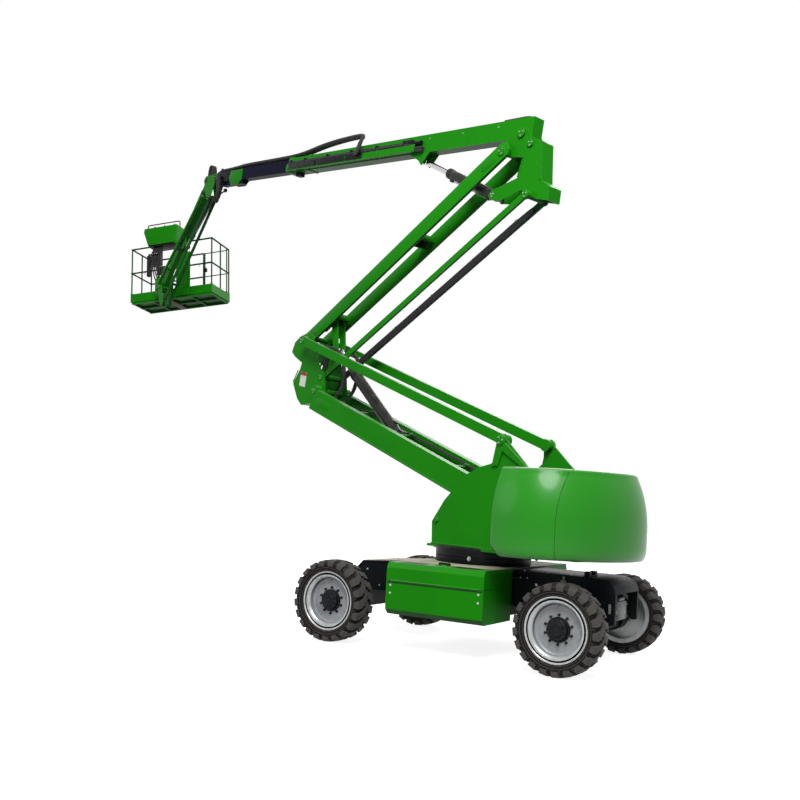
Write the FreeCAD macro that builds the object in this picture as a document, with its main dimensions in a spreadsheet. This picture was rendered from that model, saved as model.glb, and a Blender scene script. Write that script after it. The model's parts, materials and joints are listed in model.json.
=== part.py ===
import FreeCAD, Part

import math
import os

import Sketcher
from FreeCAD import Placement, Rotation, Vector

# Articulated and telescopic boom lift on four wheels, in millimetres and degrees.
#
# The row's X points forward, Y to the machine's left and Z up, with the ground at Z = 0.
# The turntable, arms and boom are drawn in their own frames (x along the arm, y to the left,
# z away from the arm) and are then placed at their pins.

# --- Driving dimensions -------------------------------------------------------------------

SIZES = [
    # where the slewing axis stands from the middle of the whole machine
    ("centre_x", 3816), ("centre_y", -1318),
    # wheels and chassis
    ("wheelbase", 2766), ("overall_width", 2380),
    ("tyre_radius", 465), ("tyre_width", 320), ("carcass_inset", 8),
    ("shoulder_drop", 84), ("shoulder_width", 42),
    ("lug_height", 30), ("lug_width", 52), ("lug_skew", 58), ("lug_lap", 6), ("lug_root", 88),
    ("lug_count", 14),
    ("bead_radius", 300), ("rim_flange_radius", 334), ("rim_width", 244), ("rim_wall", 10),
    ("rim_flange_width", 12), ("rim_disc_depth", 96), ("rim_disc_thickness", 14), ("hub_bore", 70),
    ("hub_radius", 105), ("hub_length", 92), ("hub_cap_radius", 62), ("hub_cap_length", 34),
    ("kingpin_offset", 730), ("kingpin_radius", 28),
    ("knuckle_height", 260), ("knuckle_sweep", 76), ("steering_arm", 180), ("steering_arm_width", 44),
    ("fork_thickness", 36), ("spindle_radius", 68),
    ("axle_height", 190), ("axle_depth", 200),
    ("drive_radius", 150), ("drive_axle_half_width", 590), ("drive_neck_radius", 100),
    ("frame_bottom", 470), ("frame_wall", 20), ("frame_half_width", 380), ("frame_end_overhang", 250),
    ("deck_height", 976), ("frame_end_height", 900), ("end_slope", 210), ("end_drop", 190),
    ("top_plate", 12), ("top_plate_lap", 14), ("bow_depth", 84), ("gusset_reach", 290),
    ("motor_start", 1330), ("motor_length", 230), ("motor_width", 300), ("motor_height", 150),
    ("motor_can_radius", 66), ("motor_can_length", 130),
    ("box_half_length", 590), ("box_bottom", 410), ("box_chamfer", 56), ("box_seam_height", 777),
    ("box_wall", 6), ("lid_roll", 60), ("lid_width", 260), ("lid_gap", 0.6), ("seam_gap", 8),
    ("lid_hinge_radius", 6), ("box_setback", 15), ("box_inner", 470),
    ("latch_length", 110), ("latch_width", 30), ("latch_height", 29),
    # slewing ring and turntable
    ("turn_angle", 18.3), ("slew_height", 159), ("slew_radius", 455), ("slew_bore", 330),
    ("base_plate", 30), ("base_front", 530), ("base_half_width", 424), ("seat_gap", 0.3),
    ("side_plate_thickness", 16), ("side_plate_half_gap", 388),
    ("pin_cap", 30), ("pin_cap_radius", 66), ("bracket_foot", 2095), ("bracket_depth", 24),
    # lower arm and links
    ("lower_pin_x", -870), ("lower_pin_z", 1637), ("link_pin_x", -590), ("link_pin_z", 2380),
    ("lower_length", 4372), ("lower_angle", 20.1),
    ("lower_beam_half_gap", 210), ("lower_beam_width", 100), ("lower_beam_depth", 300),
    ("lower_beam_rise", 32), ("pin_radius", 38), ("boss_radius", 82),
    ("link_half_gap", 316), ("link_width", 60), ("link_depth", 118), ("link_boss_radius", 72),
    ("running_gap", 0.05), ("side_gap", 4), ("beam_wall", 8), ("beam_end", 130),
    # middle knuckle between the arms
    ("knuckle_plate_half_gap", 188), ("knuckle_plate", 16),
    ("upper_pin_x", 394), ("upper_pin_z", 816), ("knuckle_web", 12),
    # upper arm and links
    ("upper_length", 4216), ("upper_angle", 26.4), ("upper_beam_half_gap", 104),
    ("upper_beam_width", 80), ("upper_beam_depth", 196),
    ("upper_link_half_gap", 146), ("upper_link_width", 36), ("upper_link_depth", 78),
    ("cross_near", 620), ("cross_far", 2560), ("channel_wall", 10),
    ("hose_radius", 13), ("hose_start", 420), ("hose_run", 3300), ("hose_clip", 26), ("hose_clip_count", 5),
    # riser cylinder
    ("riser_base_along", 2700), ("riser_base_drop", 60), ("riser_eye_along", 390), ("riser_eye_drop", 430),
    ("riser_barrel_radius", 78), ("riser_rod_radius", 48), ("riser_barrel_length", 1320),
    ("riser_rod_start", 435), ("eye_gap", 6), ("ear_thickness", 20),
    # upright between the upper arm and the boom
    ("upright_half_width", 100), ("upright_plate", 12), ("boom_pin_x", -234), ("boom_pin_z", 180),
    ("level_pin_x", -384), ("level_pin_z", 20), ("upright_link_x", -400), ("upright_link_z", -605),
    ("boom_cylinder_x", 205), ("boom_cylinder_z", -460),
    # main boom
    ("boom_angle", 8.6), ("boom_width", 170), ("boom_depth", 235), ("boom_rise", 185),
    ("boom_wall", 8), ("boom_length", 5080), ("boom_tail", 150),
    ("eye_bracket_along", 1792), ("eye_bracket_drop", 147),
    ("boom_barrel_radius", 62), ("boom_rod_radius", 36), ("boom_barrel_length", 1010),
    ("luff_rod_start", 188),
    ("fly_width", 138), ("fly_depth", 190), ("fly_wall", 8), ("fly_length", 4600), ("fly_reach", 7520),
    ("pad_length", 120), ("trough_start", 1900), ("trough_length", 3150), ("trough_rise", 92),
    ("trough_depth", 66), ("trough_wall", 4), ("trough_foot", 12),
    ("under_start", 6570), ("under_length", 740), ("under_depth", 62), ("under_width", 96),
    # nose, jib and platform support
    ("nose_plate", 14), ("nose_half_gap", 80),
    ("jib_pin_x", 330), ("jib_pin_z", 30), ("jib_link_x", 200), ("jib_link_z", -320),
    ("jib_length", 2356), ("jib_angle", 47.2), ("jib_width", 96), ("jib_depth", 116),
    ("jib_link_half_gap", 52), ("jib_link_width", 16), ("jib_link_depth", 80), ("jib_tie_along", 1900),
    ("jib_tie_radius", 24), ("jib_barrel_radius", 42), ("jib_rod_radius", 24), ("jib_barrel_length", 940),
    ("jib_rod_start", 240), ("jib_eye_along", 1300), ("jib_eye_drop", 180), ("jib_pin_radius", 22),
    ("jib_ear_gap", 30), ("jib_ear_thickness", 14), ("jib_ear_reach", 50),
    ("support_tilt", 7.5), ("rotator_x", 178), ("rotator_z", 60), ("rotator_radius", 92),
    ("rotator_height", 230), ("column_height", 60),
    # platform
    ("platform_yaw", 57.8), ("platform_length", 1830), ("platform_depth", 740), ("platform_offset", 270),
    ("platform_side", -80),
    ("platform_drop", 150), ("rail_height", 1130), ("mid_rail_height", 610), ("toe_height", 170),
    ("toe_thickness", 4), ("floor_thickness", 30), ("rail_radius", 16), ("post_radius", 14),
    ("gate_width", 590), ("gate_hinge", 46), ("gate_radius", 12),
    ("panel_width", 280), ("panel_height", 640), ("panel_thickness", 12),
    ("console_length", 700), ("console_depth", 300), ("console_foot", 180), ("console_height", 320),
    ("console_side", 360), ("console_wall", 6),
    # tail
    ("hood_front", 1050), ("hood_rear", 1700), ("hood_inner", 430), ("hood_outer", 1000),
    ("hood_bottom", 1150), ("hood_top", 2065), ("hood_wall", 8), ("hood_seam", 5),
    ("tail_end", 2150), ("tail_corner", 500), ("tail_top_inset", 110), ("tail_shoulder_inset", 34),
    ("tail_foot_inset", 16), ("channel_end", 1300), ("tongue_wall", 20), ("hinge_radius", 10),
    ("engine_length", 520), ("engine_width", 420), ("engine_height", 560),
]

doc = FreeCAD.newDocument("BoomLift")
sheet = doc.addObject("Spreadsheet::Sheet", "Sizes")


class Size:
    """A length or angle that keeps the sheet formula it comes from."""

    def __init__(self, value, formula):
        self.value = float(value)
        self.formula = formula

    def __add__(self, other):
        other = as_size(other)
        return Size(self.value + other.value, f"({self.formula} + {other.formula})")

    def __sub__(self, other):
        other = as_size(other)
        return Size(self.value - other.value, f"({self.formula} - {other.formula})")

    def __mul__(self, other):
        other = as_size(other)
        return Size(self.value * other.value, f"({self.formula} * {other.formula})")

    def __truediv__(self, other):
        other = as_size(other)
        return Size(self.value / other.value, f"({self.formula} / {other.formula})")

    def __neg__(self):
        return Size(-self.value, f"(0 - {self.formula})")

    def __radd__(self, other):
        return as_size(other) + self

    def __rsub__(self, other):
        return as_size(other) - self

    def __rmul__(self, other):
        return as_size(other) * self


def as_size(item):
    """Wrap a plain number so that it can stand in a formula."""
    return item if isinstance(item, Size) else Size(item, f"{item:g}")


class Dimensions:
    """The sheet's named values, each read as a Size."""

    def __init__(self, table):
        for row, (name, value) in enumerate(table, start=1):
            sheet.set(f"A{row}", name)
            sheet.set(f"B{row}", str(value))
            sheet.setAlias(f"B{row}", name)
            setattr(self, name, Size(value, f"Sizes.{name}"))


d = Dimensions(SIZES)
doc.recompute()


def cosine(angle):
    return Size(math.cos(math.radians(angle.value)), f"cos({angle.formula} * 1 deg)")


def sine(angle):
    return Size(math.sin(math.radians(angle.value)), f"sin({angle.formula} * 1 deg)")


# --- Helpers for drawing ------------------------------------------------------------------

AXIS_TURNS = {
    "X": Rotation(Vector(0, 1, 0), 90),
    "Y": Rotation(Vector(1, 0, 0), -90),
    "Z": Rotation(),
}


def bind(item, **sizes):
    """Tie properties of a document object to the sheet."""
    for name, size in sizes.items():
        item.setExpression(name, as_size(size).formula)


def seat(item, corner, turn=None):
    """Put a primitive at a corner given by three sizes."""
    x, y, z = (as_size(value) for value in corner)
    item.Placement = Placement(Vector(x.value, y.value, z.value), turn or Rotation())
    for axis, value in zip("xyz", (x, y, z)):
        item.setExpression(f"Placement.Base.{axis}", value.formula)
    return item


def box(name, length, width, height, corner):
    item = doc.addObject("Part::Box", name)
    bind(item, Length=length, Width=width, Height=height)
    return seat(item, corner)


def cylinder(name, axis, radius, length, start):
    item = doc.addObject("Part::Cylinder", name)
    bind(item, Radius=radius, Height=length)
    return seat(item, start, AXIS_TURNS[axis])


def rod_between(name, radius, start, end):
    """A round bar between two points, each of three sizes."""
    item = doc.addObject("Part::Cylinder", name)
    first = Vector(*(as_size(value).value for value in start))
    last = Vector(*(as_size(value).value for value in end))
    bind(item, Radius=radius)
    item.Height = (last - first).Length
    item.Placement = Placement(first, Rotation(Vector(0, 0, 1), last - first))
    return item


def fuse(name, *items):
    item = doc.addObject("Part::MultiFuse", name)
    item.Shapes = list(items)
    item.Refine = True
    return item


def cut(name, base, *tools):
    item = doc.addObject("Part::Cut", name)
    item.Base = base
    item.Tool = tools[0] if len(tools) == 1 else fuse(name + "_tool", *tools)
    return item


def common(name, base, tool):
    item = doc.addObject("Part::Common", name)
    item.Base = base
    item.Tool = tool
    return item


def origin_plane(body, role):
    return next(item for item in body.Origin.OriginFeatures if item.Role == role)


def sketch_on(body, name, role, offset=0):
    sketch = body.newObject("Sketcher::SketchObject", name)
    sketch.AttachmentSupport = [(origin_plane(body, role), "")]
    sketch.MapMode = "FlatFace"
    offset = as_size(offset)
    sketch.AttachmentOffset = Placement(Vector(0, 0, offset.value), Rotation())
    sketch.setExpression("AttachmentOffset.Base.z", offset.formula)
    return sketch


def draw_outline(sketch, points):
    """Draw a closed outline through points, each of two sizes."""
    points = [(as_size(x), as_size(y)) for x, y in points]
    first = sketch.GeometryCount
    count = len(points)
    for index, (x, y) in enumerate(points):
        next_x, next_y = points[(index + 1) % count]
        start, end = Vector(x.value, y.value, 0), Vector(next_x.value, next_y.value, 0)
        sketch.addGeometry(Part.LineSegment(start, end))
    for index in range(count):
        after = (index + 1) % count
        sketch.addConstraint(Sketcher.Constraint("Coincident", first + index, 2, first + after, 1))
    for index, (x, y) in enumerate(points):
        for kind, size in (("DistanceX", x), ("DistanceY", y)):
            number = sketch.addConstraint(Sketcher.Constraint(kind, -1, 1, first + index, 1, size.value))
            sketch.setExpression(f"Constraints[{number}]", size.formula)


def draw_tail_plan(sketch, front, side, rear, corner):
    """Closed plan outline, symmetrical about x, with a straight front and two round rear corners."""
    tangent_x, tangent_y = corner - rear, side - corner
    nodes = [(-front, -side), (-front, side), (tangent_x, side), (-rear, tangent_y), (-rear, -tangent_y),
             (tangent_x, -side)]
    points = [Vector(as_size(x).value, as_size(y).value, 0) for x, y in nodes]
    bulge = corner * (1 - math.sqrt(0.5))
    middles = {2: Vector((bulge - rear).value, (side - bulge).value, 0),
               4: Vector((bulge - rear).value, (bulge - side).value, 0)}
    for index in range(len(points)):
        after = (index + 1) % len(points)
        if index in middles:
            sketch.addGeometry(Part.Arc(points[index], middles[index], points[after]))
        else:
            sketch.addGeometry(Part.LineSegment(points[index], points[after]))
    arc_ends = {}
    for index in middles:
        arc = sketch.Geometry[index]
        starts_here = arc.StartPoint.distanceToPoint(points[index]) < 1e-6
        arc_ends[index] = (1, 2) if starts_here else (2, 1)
    for index in range(len(points)):
        after = (index + 1) % len(points)
        last = arc_ends[index][1] if index in arc_ends else 2
        first = arc_ends[after][0] if after in arc_ends else 1
        sketch.addConstraint(Sketcher.Constraint("Coincident", index, last, after, first))
    for index, (x, y) in enumerate(nodes):
        end = arc_ends[index][0] if index in arc_ends else 1
        for kind, size in (("DistanceX", as_size(x)), ("DistanceY", as_size(y))):
            number = sketch.addConstraint(Sketcher.Constraint(kind, -1, 1, index, end, size.value))
            sketch.setExpression(f"Constraints[{number}]", size.formula)
    for index in middles:
        number = sketch.addConstraint(Sketcher.Constraint("Radius", index, corner.value))
        sketch.setExpression(f"Constraints[{number}]", corner.formula)


def draw_circle(sketch, radius, centre):
    x, y = (as_size(value) for value in centre)
    circle = Part.Circle(Vector(x.value, y.value, 0), Vector(0, 0, 1), radius.value)
    number = sketch.addGeometry(circle)
    for kind, size in (("DistanceX", x), ("DistanceY", y)):
        constraint = sketch.addConstraint(Sketcher.Constraint(kind, -1, 1, number, 3, size.value))
        sketch.setExpression(f"Constraints[{constraint}]", size.formula)
    constraint = sketch.addConstraint(Sketcher.Constraint("Radius", number, radius.value))
    sketch.setExpression(f"Constraints[{constraint}]", radius.formula)


def plate(name, points, start, thickness, holes=()):
    """A flat plate in the XZ plane that runs from y = start to start + thickness."""
    body = doc.addObject("PartDesign::Body", name)
    sketch = sketch_on(body, name + "_outline", "XZ_Plane", -as_size(start))
    draw_outline(sketch, points)
    for radius, centre in holes:
        draw_circle(sketch, radius, centre)
    pad = body.newObject("PartDesign::Pad", name + "_pad")
    pad.Profile = sketch
    pad.Reversed = True
    bind(pad, Length=thickness)
    return body


def slab(name, points, bottom, thickness):
    """A flat plate in the XY plane that rises from z = bottom."""
    body = doc.addObject("PartDesign::Body", name)
    sketch = sketch_on(body, name + "_outline", "XY_Plane", bottom)
    draw_outline(sketch, points)
    pad = body.newObject("PartDesign::Pad", name + "_pad")
    pad.Profile = sketch
    bind(pad, Length=thickness)
    return body


def revolved(name, points):
    """A ring turned about the Y axis; points are (y, radius) pairs."""
    body = doc.addObject("PartDesign::Body", name)
    sketch = sketch_on(body, name + "_profile", "XY_Plane")
    draw_outline(sketch, [(radius, y) for y, radius in points])
    turn = body.newObject("PartDesign::Revolution", name + "_turn")
    turn.Profile = sketch
    turn.ReferenceAxis = (sketch, ["V_Axis"])
    turn.Angle = 360
    return body


parts = []


def mirrored(points, x_way, y_way=1):
    """Points reflected by signs, with their order kept anticlockwise."""
    flat = [(as_size(x) * x_way, as_size(y) * y_way) for x, y in points]
    return flat if x_way * y_way > 0 else flat[::-1]


def part(label, item, frame):
    """Name a finished sub-part and put it at its place in the machine."""
    item.Label = label
    item.Placement = frame
    parts.append(item)
    return item


# --- Frames of the machine's bodies at rest ----------------------------------------------


def shift(x=0, y=0, z=0):
    return Placement(Vector(*(as_size(value).value for value in (x, y, z))), Rotation())


def pitch(angle):
    """Turn about the lateral axis; a positive angle raises the front."""
    return Placement(Vector(), Rotation(Vector(0, 1, 0), -as_size(angle).value))


def yaw(angle):
    return Placement(Vector(), Rotation(Vector(0, 0, 1), as_size(angle).value))


# the links run parallel to their arms, so their pins in the knuckle follow from the outer ones
far_pin_x, far_pin_z = d.link_pin_x - d.lower_pin_x, d.link_pin_z - d.lower_pin_z
upper_link_x, upper_link_z = d.upper_pin_x + d.upright_link_x, d.upper_pin_z + d.upright_link_z
ground = shift(-d.centre_x, -d.centre_y)
turntable = ground * yaw(-d.turn_angle)
lower_arm = turntable * shift(d.lower_pin_x, 0, d.lower_pin_z) * pitch(d.lower_angle)
lower_links = turntable * shift(d.link_pin_x, 0, d.link_pin_z) * pitch(d.lower_angle)
middle = lower_arm * shift(d.lower_length) * pitch(-d.lower_angle)
upper_foot = middle * shift(d.upper_pin_x, 0, d.upper_pin_z)
upper_arm = upper_foot * pitch(-d.upper_angle) * shift(-d.upper_length)
upper_links = middle * shift(upper_link_x, 0, upper_link_z) * pitch(-d.upper_angle) * shift(-d.upper_length)
upright = upper_arm * pitch(d.upper_angle)
boom = upright * shift(d.boom_pin_x, 0, d.boom_pin_z) * pitch(d.boom_angle)
boom_axis_z = d.boom_rise - d.boom_depth / 2
nose = boom * shift(d.fly_reach, 0, boom_axis_z) * pitch(-d.boom_angle)
jib = nose * shift(d.jib_pin_x, 0, d.jib_pin_z) * pitch(-d.jib_angle)
jib_link = nose * shift(d.jib_link_x, 0, d.jib_link_z) * pitch(-d.jib_angle)
support = jib * shift(d.jib_length) * pitch(d.jib_angle - d.support_tilt)
platform = support * shift(d.rotator_x, 0, d.rotator_z) * yaw(-d.platform_yaw)

pin_hole = d.pin_radius + d.running_gap
small_hole = d.pin_radius - 8 + d.running_gap


def between(start_frame, start, end_frame, end):
    """The frame of a cylinder whose x axis runs from one pin to another, and their distance."""
    first = (start_frame * shift(*start)).Base
    last = (end_frame * shift(*end)).Base
    home = turntable.inverse()
    flat = home.multVec(last) - home.multVec(first)
    angle = math.degrees(math.atan2(flat.z, flat.x))
    return Placement(first, turntable.Rotation) * pitch(angle), flat.Length


# --- Wheels -------------------------------------------------------------------------------


def add_lugs(tyre, half):
    """Two rows of bent lugs around a tyre, half a pitch apart, that lap over its shoulders."""
    half_pitch = as_size(180) / d.lug_count
    tread = (d.tyre_radius - sine(half_pitch) * d.lug_skew) / cosine(half_pitch)
    root = d.tyre_radius - d.lug_root
    bend = half * 0.45
    for row, side in (("near", 1), ("far", -1)):
        turn = as_size(90 * (1 - side)) / d.lug_count
        sketch = sketch_on(tyre, f"{tyre.Name}_{row}_lug", "XY_Plane", root)
        aside, above = root * sine(turn), root * cosine(turn)
        sketch.AttachmentOffset = Placement(Vector(aside.value, 0, above.value),
                                            Rotation(Vector(0, 1, 0), turn.value))
        bind(sketch, **{"AttachmentOffset.Base.x": aside, "AttachmentOffset.Base.z": above})
        inner = side * d.lug_lap
        outline = [(-d.lug_skew, inner), (d.lug_width - d.lug_skew, inner), (d.lug_width, side * bend),
                   (d.lug_width, side * half), (0, side * half), (0, side * bend)]
        draw_outline(sketch, outline if side > 0 else outline[::-1])
        pad = tyre.newObject("PartDesign::Pad", f"{tyre.Name}_{row}_lug_pad")
        pad.Profile = sketch
        bind(pad, Length=tread - root)
        ring = tyre.newObject("PartDesign::PolarPattern", f"{tyre.Name}_{row}_lugs")
        ring.Originals = [pad]
        ring.Axis = (origin_plane(tyre, "Y_Axis"), [""])
        ring.Angle = 360
        bind(ring, Occurrences=d.lug_count)
        tyre.Tip = ring
    return tyre


def make_wheel(tag, x, side):
    """One tyre and its dished rim with the hub; side is 1 on the left and -1 on the right."""
    half = d.tyre_width / 2
    rim_half = d.rim_width / 2
    seat_half = rim_half - d.rim_flange_width
    centre_y = d.overall_width / 2 - half
    frame = ground * shift(x, side * centre_y, d.tyre_radius)
    if side < 0:
        frame = frame * yaw(180)
    crown = d.tyre_radius - d.lug_height
    wall_y = half - d.carcass_inset
    shoulder = d.tyre_radius - d.shoulder_drop
    tyre_profile = [
        (-seat_half, d.bead_radius + d.running_gap), (seat_half, d.bead_radius + d.running_gap),
        (seat_half, d.rim_flange_radius + d.seat_gap), (rim_half, d.rim_flange_radius + d.seat_gap),
        (wall_y, shoulder), (wall_y - d.shoulder_width, crown), (d.shoulder_width - wall_y, crown),
        (-wall_y, shoulder), (-rim_half, d.rim_flange_radius + d.seat_gap),
        (-seat_half, d.rim_flange_radius + d.seat_gap),
    ]
    part(f"tyre_{tag}", add_lugs(revolved(f"Tyre_{tag}", tyre_profile), half), frame)
    inner = d.bead_radius - d.rim_wall
    disc_front = rim_half - d.rim_disc_depth
    disc_back = disc_front - d.rim_disc_thickness
    rim_profile = [
        (-rim_half, inner), (disc_back, inner), (disc_back, d.hub_bore),
        (disc_front, d.hub_bore), (disc_front, inner), (rim_half, inner),
        (rim_half, d.rim_flange_radius), (seat_half, d.rim_flange_radius - 2),
        (seat_half, d.bead_radius), (-seat_half, d.bead_radius),
        (-seat_half, d.rim_flange_radius - 2), (-rim_half, d.rim_flange_radius),
    ]
    rim = revolved(f"RimRing_{tag}", rim_profile)
    hub = cylinder(f"Hub_{tag}", "Y", d.hub_radius, d.hub_length,
                   (0, disc_back - d.hub_length + 40, 0))
    cap = cylinder(f"HubCap_{tag}", "Y", d.hub_cap_radius, d.hub_cap_length, (0, disc_back + 40, 0))
    part(f"rim_{tag}", fuse(f"Rim_{tag}", rim, hub, cap), frame)


hub_inner_y = (d.overall_width / 2 - d.tyre_width / 2 + d.rim_width / 2
               - d.rim_disc_depth - d.rim_disc_thickness - d.hub_length + 40)

for tag, x, side in (("front_left", d.wheelbase / 2, 1), ("front_right", d.wheelbase / 2, -1),
                     ("rear_left", -d.wheelbase / 2, 1), ("rear_right", -d.wheelbase / 2, -1)):
    make_wheel(tag, x, side)

# --- Chassis ------------------------------------------------------------------------------


def make_chassis_frame():
    """Centre box between the side boxes, and an open channel with a bent top plate over each axle."""
    centre = box("FrameCentre", d.box_half_length * 2, d.box_inner * 2, d.deck_height - d.frame_bottom,
                 (-d.box_half_length, -d.box_inner, d.frame_bottom))
    wall = d.frame_wall
    hollow = box("FrameCentreHollow", (d.box_half_length - wall) * 2, (d.box_inner - wall) * 2,
                 d.deck_height - d.frame_bottom - wall * 2,
                 (wall - d.box_half_length, wall - d.box_inner, d.frame_bottom + wall))
    reach = d.wheelbase / 2 + d.frame_end_overhang
    root, floor = d.box_half_length - wall / 2, d.tyre_radius + d.axle_height / 2
    high, low = d.frame_end_height, d.frame_end_height - d.end_drop
    crest = d.deck_height - wall
    bend = reach - d.end_slope
    pieces = [cut("FrameCentreShell", centre, hollow)]
    for way, word in ((1, "Front"), (-1, "Rear")):
        lip = reach - d.bow_depth / 3
        side = [(root, floor), (reach, floor), (reach, low - d.bow_depth / 2), (lip, low), (bend, high),
                (root, crest)]
        top = [(root, crest), (bend, high), (lip, low), (lip, low - d.top_plate), (bend, high - d.top_plate),
               (root, crest - d.top_plate)]
        bottom = [(root, floor), (reach, floor), (reach, floor + d.top_plate), (root, floor + d.top_plate)]
        edge = d.frame_half_width - 1
        gusset = [(root, edge), (root + d.gusset_reach, edge), (root, d.box_inner)]
        for hand, tag, start in ((1, "Left", d.frame_half_width - wall), (-1, "Right", -d.frame_half_width)):
            pieces.append(plate(f"{word}Side{tag}", mirrored(side, way), start, wall))
            pieces.append(slab(f"{word}Gusset{tag}", mirrored(gusset, way, hand), high - d.top_plate_lap * 2,
                               d.top_plate))
        half = d.frame_half_width + d.top_plate_lap
        pieces.append(plate(f"{word}Top", mirrored(top, way), -half, half * 2))
        half = d.frame_half_width - wall / 2
        pieces.append(plate(f"{word}Bottom", mirrored(bottom, way), -half, half * 2))
    part("chassis_frame", fuse("ChassisFrame", *pieces), ground)


def make_drive_motor():
    """Travel motor with its gear case, between the side plates of the rear channel."""
    foot = d.tyre_radius + d.axle_height / 2 + d.top_plate + d.seat_gap
    case = box("MotorCase", d.motor_length, d.motor_width, d.motor_height,
               (-d.motor_start - d.motor_length, -d.motor_width / 2, foot))
    can = cylinder("MotorCan", "X", d.motor_can_radius, d.motor_can_length,
                   (-d.motor_start - 1, 0, foot + d.motor_height / 2))
    part("drive_motor", fuse("DriveMotor", case, can), ground)


def make_front_axle():
    """Steering axle under the front end, with a fork for each knuckle."""
    x = d.wheelbase / 2
    beam_half = d.kingpin_offset - d.knuckle_sweep - d.side_gap
    beam = box("FrontBeam", d.axle_depth, beam_half * 2, d.axle_height - 0.3,
               (x - d.axle_depth / 2, -beam_half, d.tyre_radius - d.axle_height / 2))
    pieces = [beam]
    fork_half = d.knuckle_height / 2 + 0.3
    for side, word in ((1, "Left"), (-1, "Right")):
        root = box(f"ForkRoot{word}", d.axle_depth, 60, fork_half * 2 + d.fork_thickness * 2,
                   (x - d.axle_depth / 2, beam_half - 60 if side > 0 else -beam_half,
                    d.tyre_radius - fork_half - d.fork_thickness))
        pieces.append(root)
        for level, z in (("Top", d.tyre_radius + fork_half),
                         ("Bottom", d.tyre_radius - fork_half - d.fork_thickness)):
            length = d.kingpin_offset - beam_half + 50
            start = beam_half - 10 if side > 0 else -beam_half - length + 10
            pieces.append(box(f"Fork{word}{level}", 130, length, d.fork_thickness, (x - 65, start, z)))
    solid = fuse("FrontAxleSolid", *pieces)
    holes = [cylinder(f"KingpinHole{word}", "Z", d.kingpin_radius + d.running_gap,
                      fork_half * 2 + d.fork_thickness * 2 + 20,
                      (x, side * d.kingpin_offset, d.tyre_radius - fork_half - d.fork_thickness - 10))
             for side, word in ((1, "Left"), (-1, "Right"))]
    part("front_axle", cut("FrontAxle", solid, *holes), ground)


def make_steering_knuckle(side, word):
    """Block on the kingpin, with the spindle that carries the wheel's hub."""
    height = d.knuckle_height
    block = cylinder(f"KnuckleBlock{word}", "Z", d.knuckle_sweep, height, (0, 0, -height / 2))
    spindle_length = hub_inner_y - d.kingpin_offset - 0.3
    spindle = cylinder(f"Spindle{word}", "Y", d.spindle_radius, spindle_length, (0, 0, 0))
    pin_length = height + d.fork_thickness * 2 + 0.6
    kingpin = cylinder(f"Kingpin{word}", "Z", d.kingpin_radius, pin_length, (0, 0, -pin_length / 2))
    reach, width = d.steering_arm, d.steering_arm_width
    arm_corner = (-reach, 0, 10 - height / 2) if side > 0 else (0, 0, 10 - height / 2)
    arm = box(f"SteeringArm{word}", reach, width, 30, arm_corner)
    frame = ground * shift(d.wheelbase / 2, side * d.kingpin_offset, d.tyre_radius)
    if side < 0:
        frame = frame * yaw(180)
    part(f"steering_knuckle_{word.lower()}", fuse(f"Knuckle{word}", block, spindle, kingpin, arm), frame)


def make_rear_axle():
    """Drive axle with a gear housing behind each rear wheel."""
    x = -d.wheelbase / 2
    beam = box("RearBeam", d.axle_depth, d.drive_axle_half_width * 2, d.axle_height - 0.3,
               (x - d.axle_depth / 2, -d.drive_axle_half_width, d.tyre_radius - d.axle_height / 2))
    pieces = [beam]
    for side, word in ((1, "Left"), (-1, "Right")):
        housing_length = 190
        neck_length = hub_inner_y - d.drive_axle_half_width - 0.3
        start = d.drive_axle_half_width - 60 if side > 0 else -d.drive_axle_half_width - housing_length + 60
        pieces.append(cylinder(f"DriveHousing{word}", "Y", d.drive_radius, housing_length,
                               (x, start, d.tyre_radius)))
        start = d.drive_axle_half_width if side > 0 else -d.drive_axle_half_width - neck_length
        pieces.append(cylinder(f"DriveNeck{word}", "Y", d.drive_neck_radius, neck_length,
                               (x, start, d.tyre_radius)))
    part("rear_axle", fuse("RearAxle", *pieces), ground)


def make_side_box(side, word):
    """Side box with a fixed deck, and the flap that closes its outer shoulder and hinges at the seam."""
    outer = d.overall_width / 2 - d.box_setback
    inner = d.box_inner + d.seat_gap
    chamfer, wall, roll = d.box_chamfer, d.box_wall, d.lid_roll
    low, seam, top, half = d.box_bottom, d.box_seam_height, d.deck_height, d.box_half_length
    edge = outer - d.lid_width

    def form(name, inset):
        body = doc.addObject("PartDesign::Body", name)
        sketch = sketch_on(body, name + "_outline", "YZ_Plane", inset - half)
        draw_outline(sketch, [
            (inner + inset, low + inset), (outer - chamfer - inset / 2, low + inset),
            (outer - inset, low + chamfer + inset / 2), (outer - inset, top - roll - inset / 2),
            (outer - roll / 2 - inset, top - inset), (inner + inset, top - inset),
        ])
        pad = body.newObject("PartDesign::Pad", name + "_pad")
        pad.Profile = sketch
        bind(pad, Length=(half - inset) * 2)
        return body

    def shell(name):
        return cut(name, form(name + "Outer", as_size(0)), form(name + "Inner", wall))

    frame = ground if side > 0 else ground * yaw(180)
    reach = half * 2 + wall * 2
    mouth = box(f"BoxMouth{word}", reach, d.lid_width + wall, top - seam + wall * 3,
                (-reach / 2, edge, seam - d.seam_gap))
    part(f"side_box_{word.lower()}", cut(f"SideBox{word}", shell(f"BoxShell{word}"), mouth), frame)
    span = box(f"LidSpan{word}", reach, d.lid_width + wall, top - seam + wall,
               (-reach / 2, edge + d.lid_gap, seam))
    cover = common(f"LidCover{word}", shell(f"LidShell{word}"), span)
    grip = box(f"Latch{word}", d.latch_length, d.latch_width, d.latch_height,
               (-d.latch_length / 2, edge + wall * 3, top - wall / 2))
    tube = cylinder(f"LidHinge{word}", "X", d.lid_hinge_radius, half * 2 - 100, (50 - half, outer, seam))
    part(f"side_lid_{word.lower()}", fuse(f"Lid{word}", cover, grip, tube), frame)


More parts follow.
